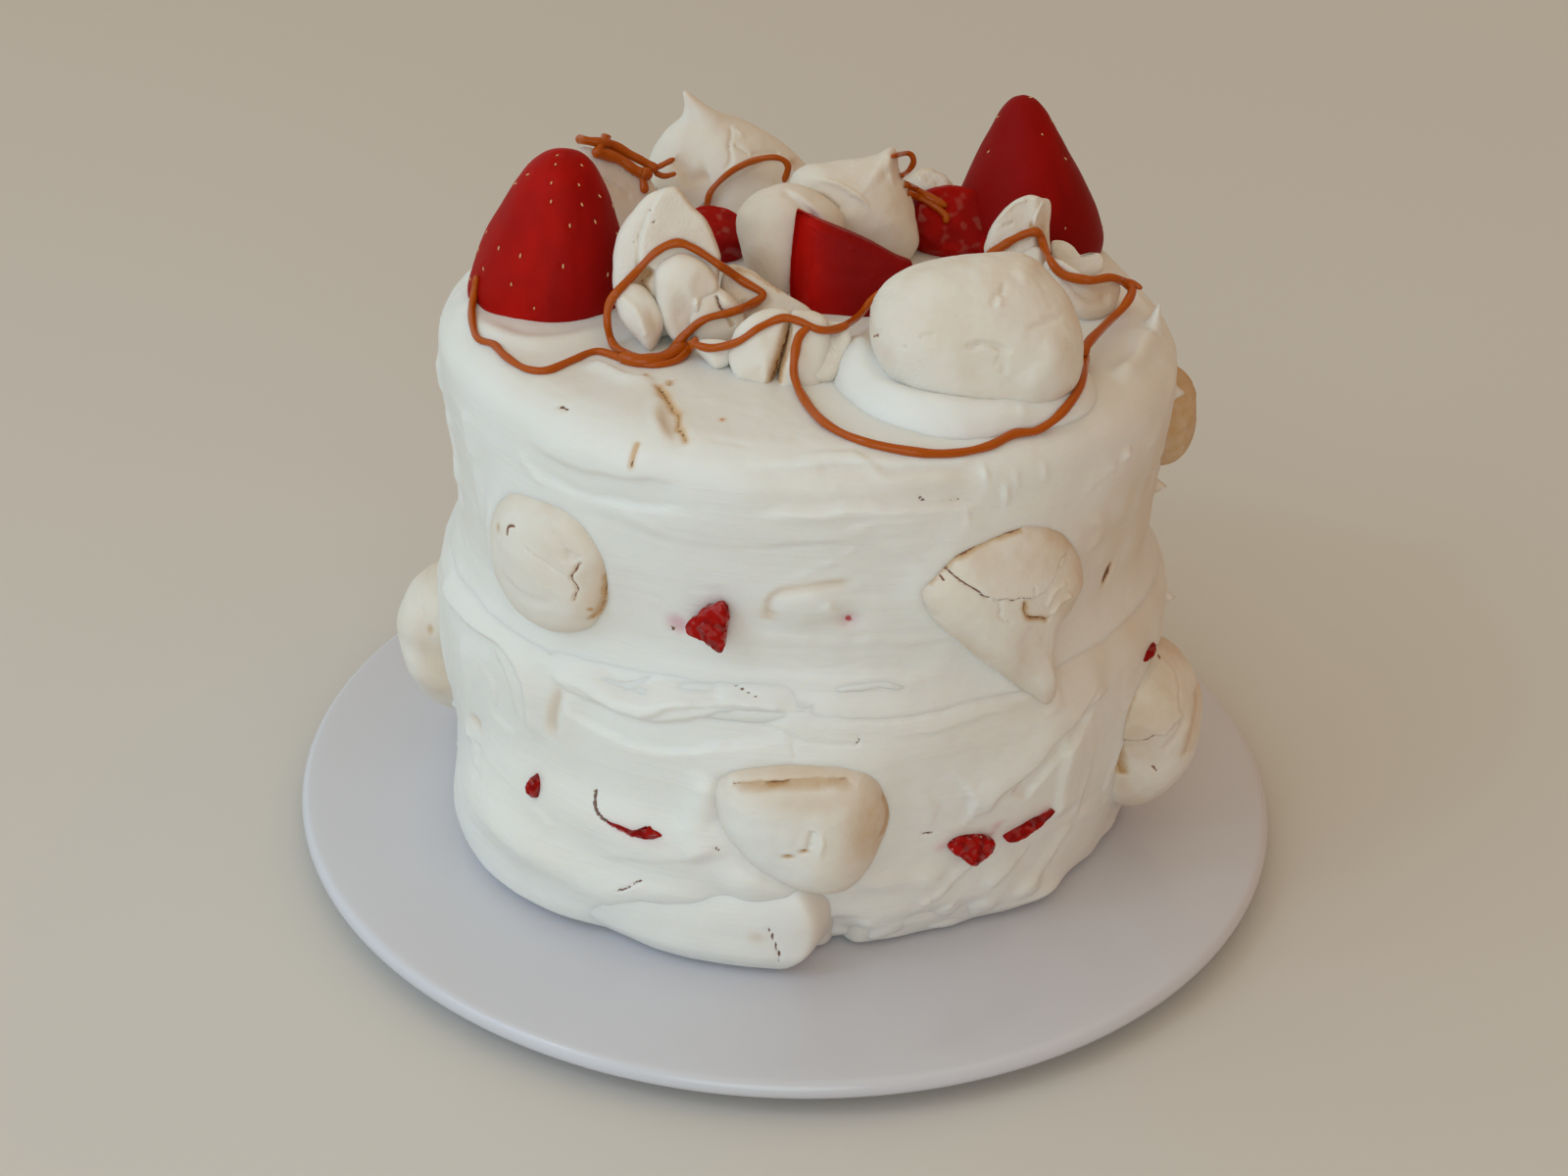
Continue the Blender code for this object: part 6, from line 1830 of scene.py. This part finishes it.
def makeStrands():
    below = bmesh.new()
    for item in bpy.context.scene.objects:
        if item.type == "MESH" and item.name != "servingPlate":
            below.from_mesh(item.data)
    tree = BVHTree.FromBMesh(below)
    below.free()
    bm = bmesh.new()
    chance = random.Random(5)
    for name, (thickness, path) in strands.items():
        thick = thickness * strandScale
        line = settleStrand(tree, path, thick)
        curve = bpy.data.curves.new(name, "CURVE")
        curve.dimensions = "3D"
        curve.bevel_depth = mm
        curve.bevel_resolution = 4
        curve.use_fill_caps = True
        spline = curve.splines.new("POLY")
        spline.points.add(len(line) - 1)
        phase = chance.uniform(0, 6)
        for i, (dot, point) in enumerate(zip(spline.points, line)):
            dot.co = (*(point * mm), 1)
            near = min(i, len(line) - 1 - i)  # rounded ends
            uneven = 1 + 0.09 * math.sin(i * 0.23 + phase) + 0.05 * math.sin(i * 0.61 + 2 * phase)
            dot.radius = thick * uneven * (0.45, 0.72, 0.88, 0.96)[min(near, 3)]
        holder = bpy.data.objects.new(name, curve)
        mesh = bpy.data.meshes.new_from_object(holder)
        bm.from_mesh(mesh)
        bpy.data.objects.remove(holder)
    bmesh.ops.remove_doubles(bm, verts=bm.verts, dist=1e-6)
    bmesh.ops.recalc_face_normals(bm, faces=bm.faces)
    addPiece("caramelStrands", meshOf("caramelStrands", bm), caramel)


makeStrands()
print("caramel poured")


stageLook = {"floor": (0.66, 0.63, 0.60), "left": (0.70, 0.84, 0.84), "right": (0.40, 0.21, 0.13),
             "above": (0.66, 0.58, 0.40)}


def setStage():
    floorLook = Look("paleFloor", {"Roughness": 0.7, "Base Color": (*stageLook["floor"], 1)})
    bm = bmesh.new()
    bmesh.ops.create_grid(bm, x_segments=1, y_segments=1, size=30)
    mesh = meshOf("paleFloor", bm)
    mesh.materials.append(floorLook.material)
    floor = bpy.data.objects.new("paleFloor", mesh)
    bpy.context.scene.collection.objects.link(floor)
    # cool daylight from the left, a warm dimmer room on the right and a pale ceiling
    world = bpy.data.worlds.new("softRoom")
    room = Nodes(world, "Background")
    direction = room.node("ShaderNodeTexCoord", {}, {}, "Generated")
    colour = stageLook["left"]
    for axis, low, high, name in (("X", -0.7, 0.25, "right"), ("Z", 0.45, 0.95, "above")):
        part = room.node("ShaderNodeSeparateXYZ", {}, {0: direction}, axis)
        share = room.node("ShaderNodeMapRange", {}, {"Value": part, "From Min": low, "From Max": high})
        colour = room.blend(share, colour, stageLook[name])
    room.feed("Color", colour)
    bpy.context.scene.world = world
    bpy.context.scene.view_settings.view_transform = "Standard"


lampTarget = (0, 0, 0.1)
lamps = {
    "windowLight": {"place": (-1.1, -0.65, 1.0), "size": 1.0, "power": 4.0, "colour": (0.50, 0.68, 1.0)},
    "smallLamp": {"place": (-0.9, -0.6, 1.25), "size": 0.14, "power": 0.7, "colour": (0.9, 0.95, 1.0)},
    "frontFill": {"place": (-0.05, -1.4, 0.56), "size": 1.0, "power": 4.4, "colour": (0.74, 0.97, 1.0)},
}


def addLamp(name):
    lamp = lamps[name]
    light = bpy.data.lights.new(name, "AREA")
    light.shape = "DISK"
    light.size = lamp["size"]
    light.energy = lamp["power"]
    light.color = lamp["colour"]
    item = bpy.data.objects.new(name, light)
    item.location = lamp["place"]
    item.rotation_euler = (Vector(lampTarget) - Vector(lamp["place"])).to_track_quat("-Z", "Y").to_euler()
    bpy.context.scene.collection.objects.link(item)


viewFrom = {"place": (-0.002928, -0.645549, 0.456426), "down": 30.601, "roll": 2.2046, "lens": 57.16,
            "sensor": 36}


def setCamera():
    down, roll = math.radians(viewFrom["down"]), math.radians(viewFrom["roll"])
    camera = bpy.data.cameras.new("viewCamera")
    camera.lens = viewFrom["lens"]
    camera.sensor_width = viewFrom["sensor"]
    item = bpy.data.objects.new("viewCamera", camera)
    bpy.context.scene.collection.objects.link(item)
    forward = Vector((0, math.cos(down), -math.sin(down)))
    right = Vector((1, 0, 0))
    up = right.cross(forward)
    rightTurned = right * math.cos(roll) + up * math.sin(roll)
    upTurned = up * math.cos(roll) - right * math.sin(roll)
    looking = Matrix((rightTurned, upTurned, -forward)).transposed().to_4x4()
    item.matrix_world = Matrix.Translation(viewFrom["place"]) @ looking
    bpy.context.scene.camera = item


setStage()
for name in lamps:
    addLamp(name)
setCamera()
print("stage set")
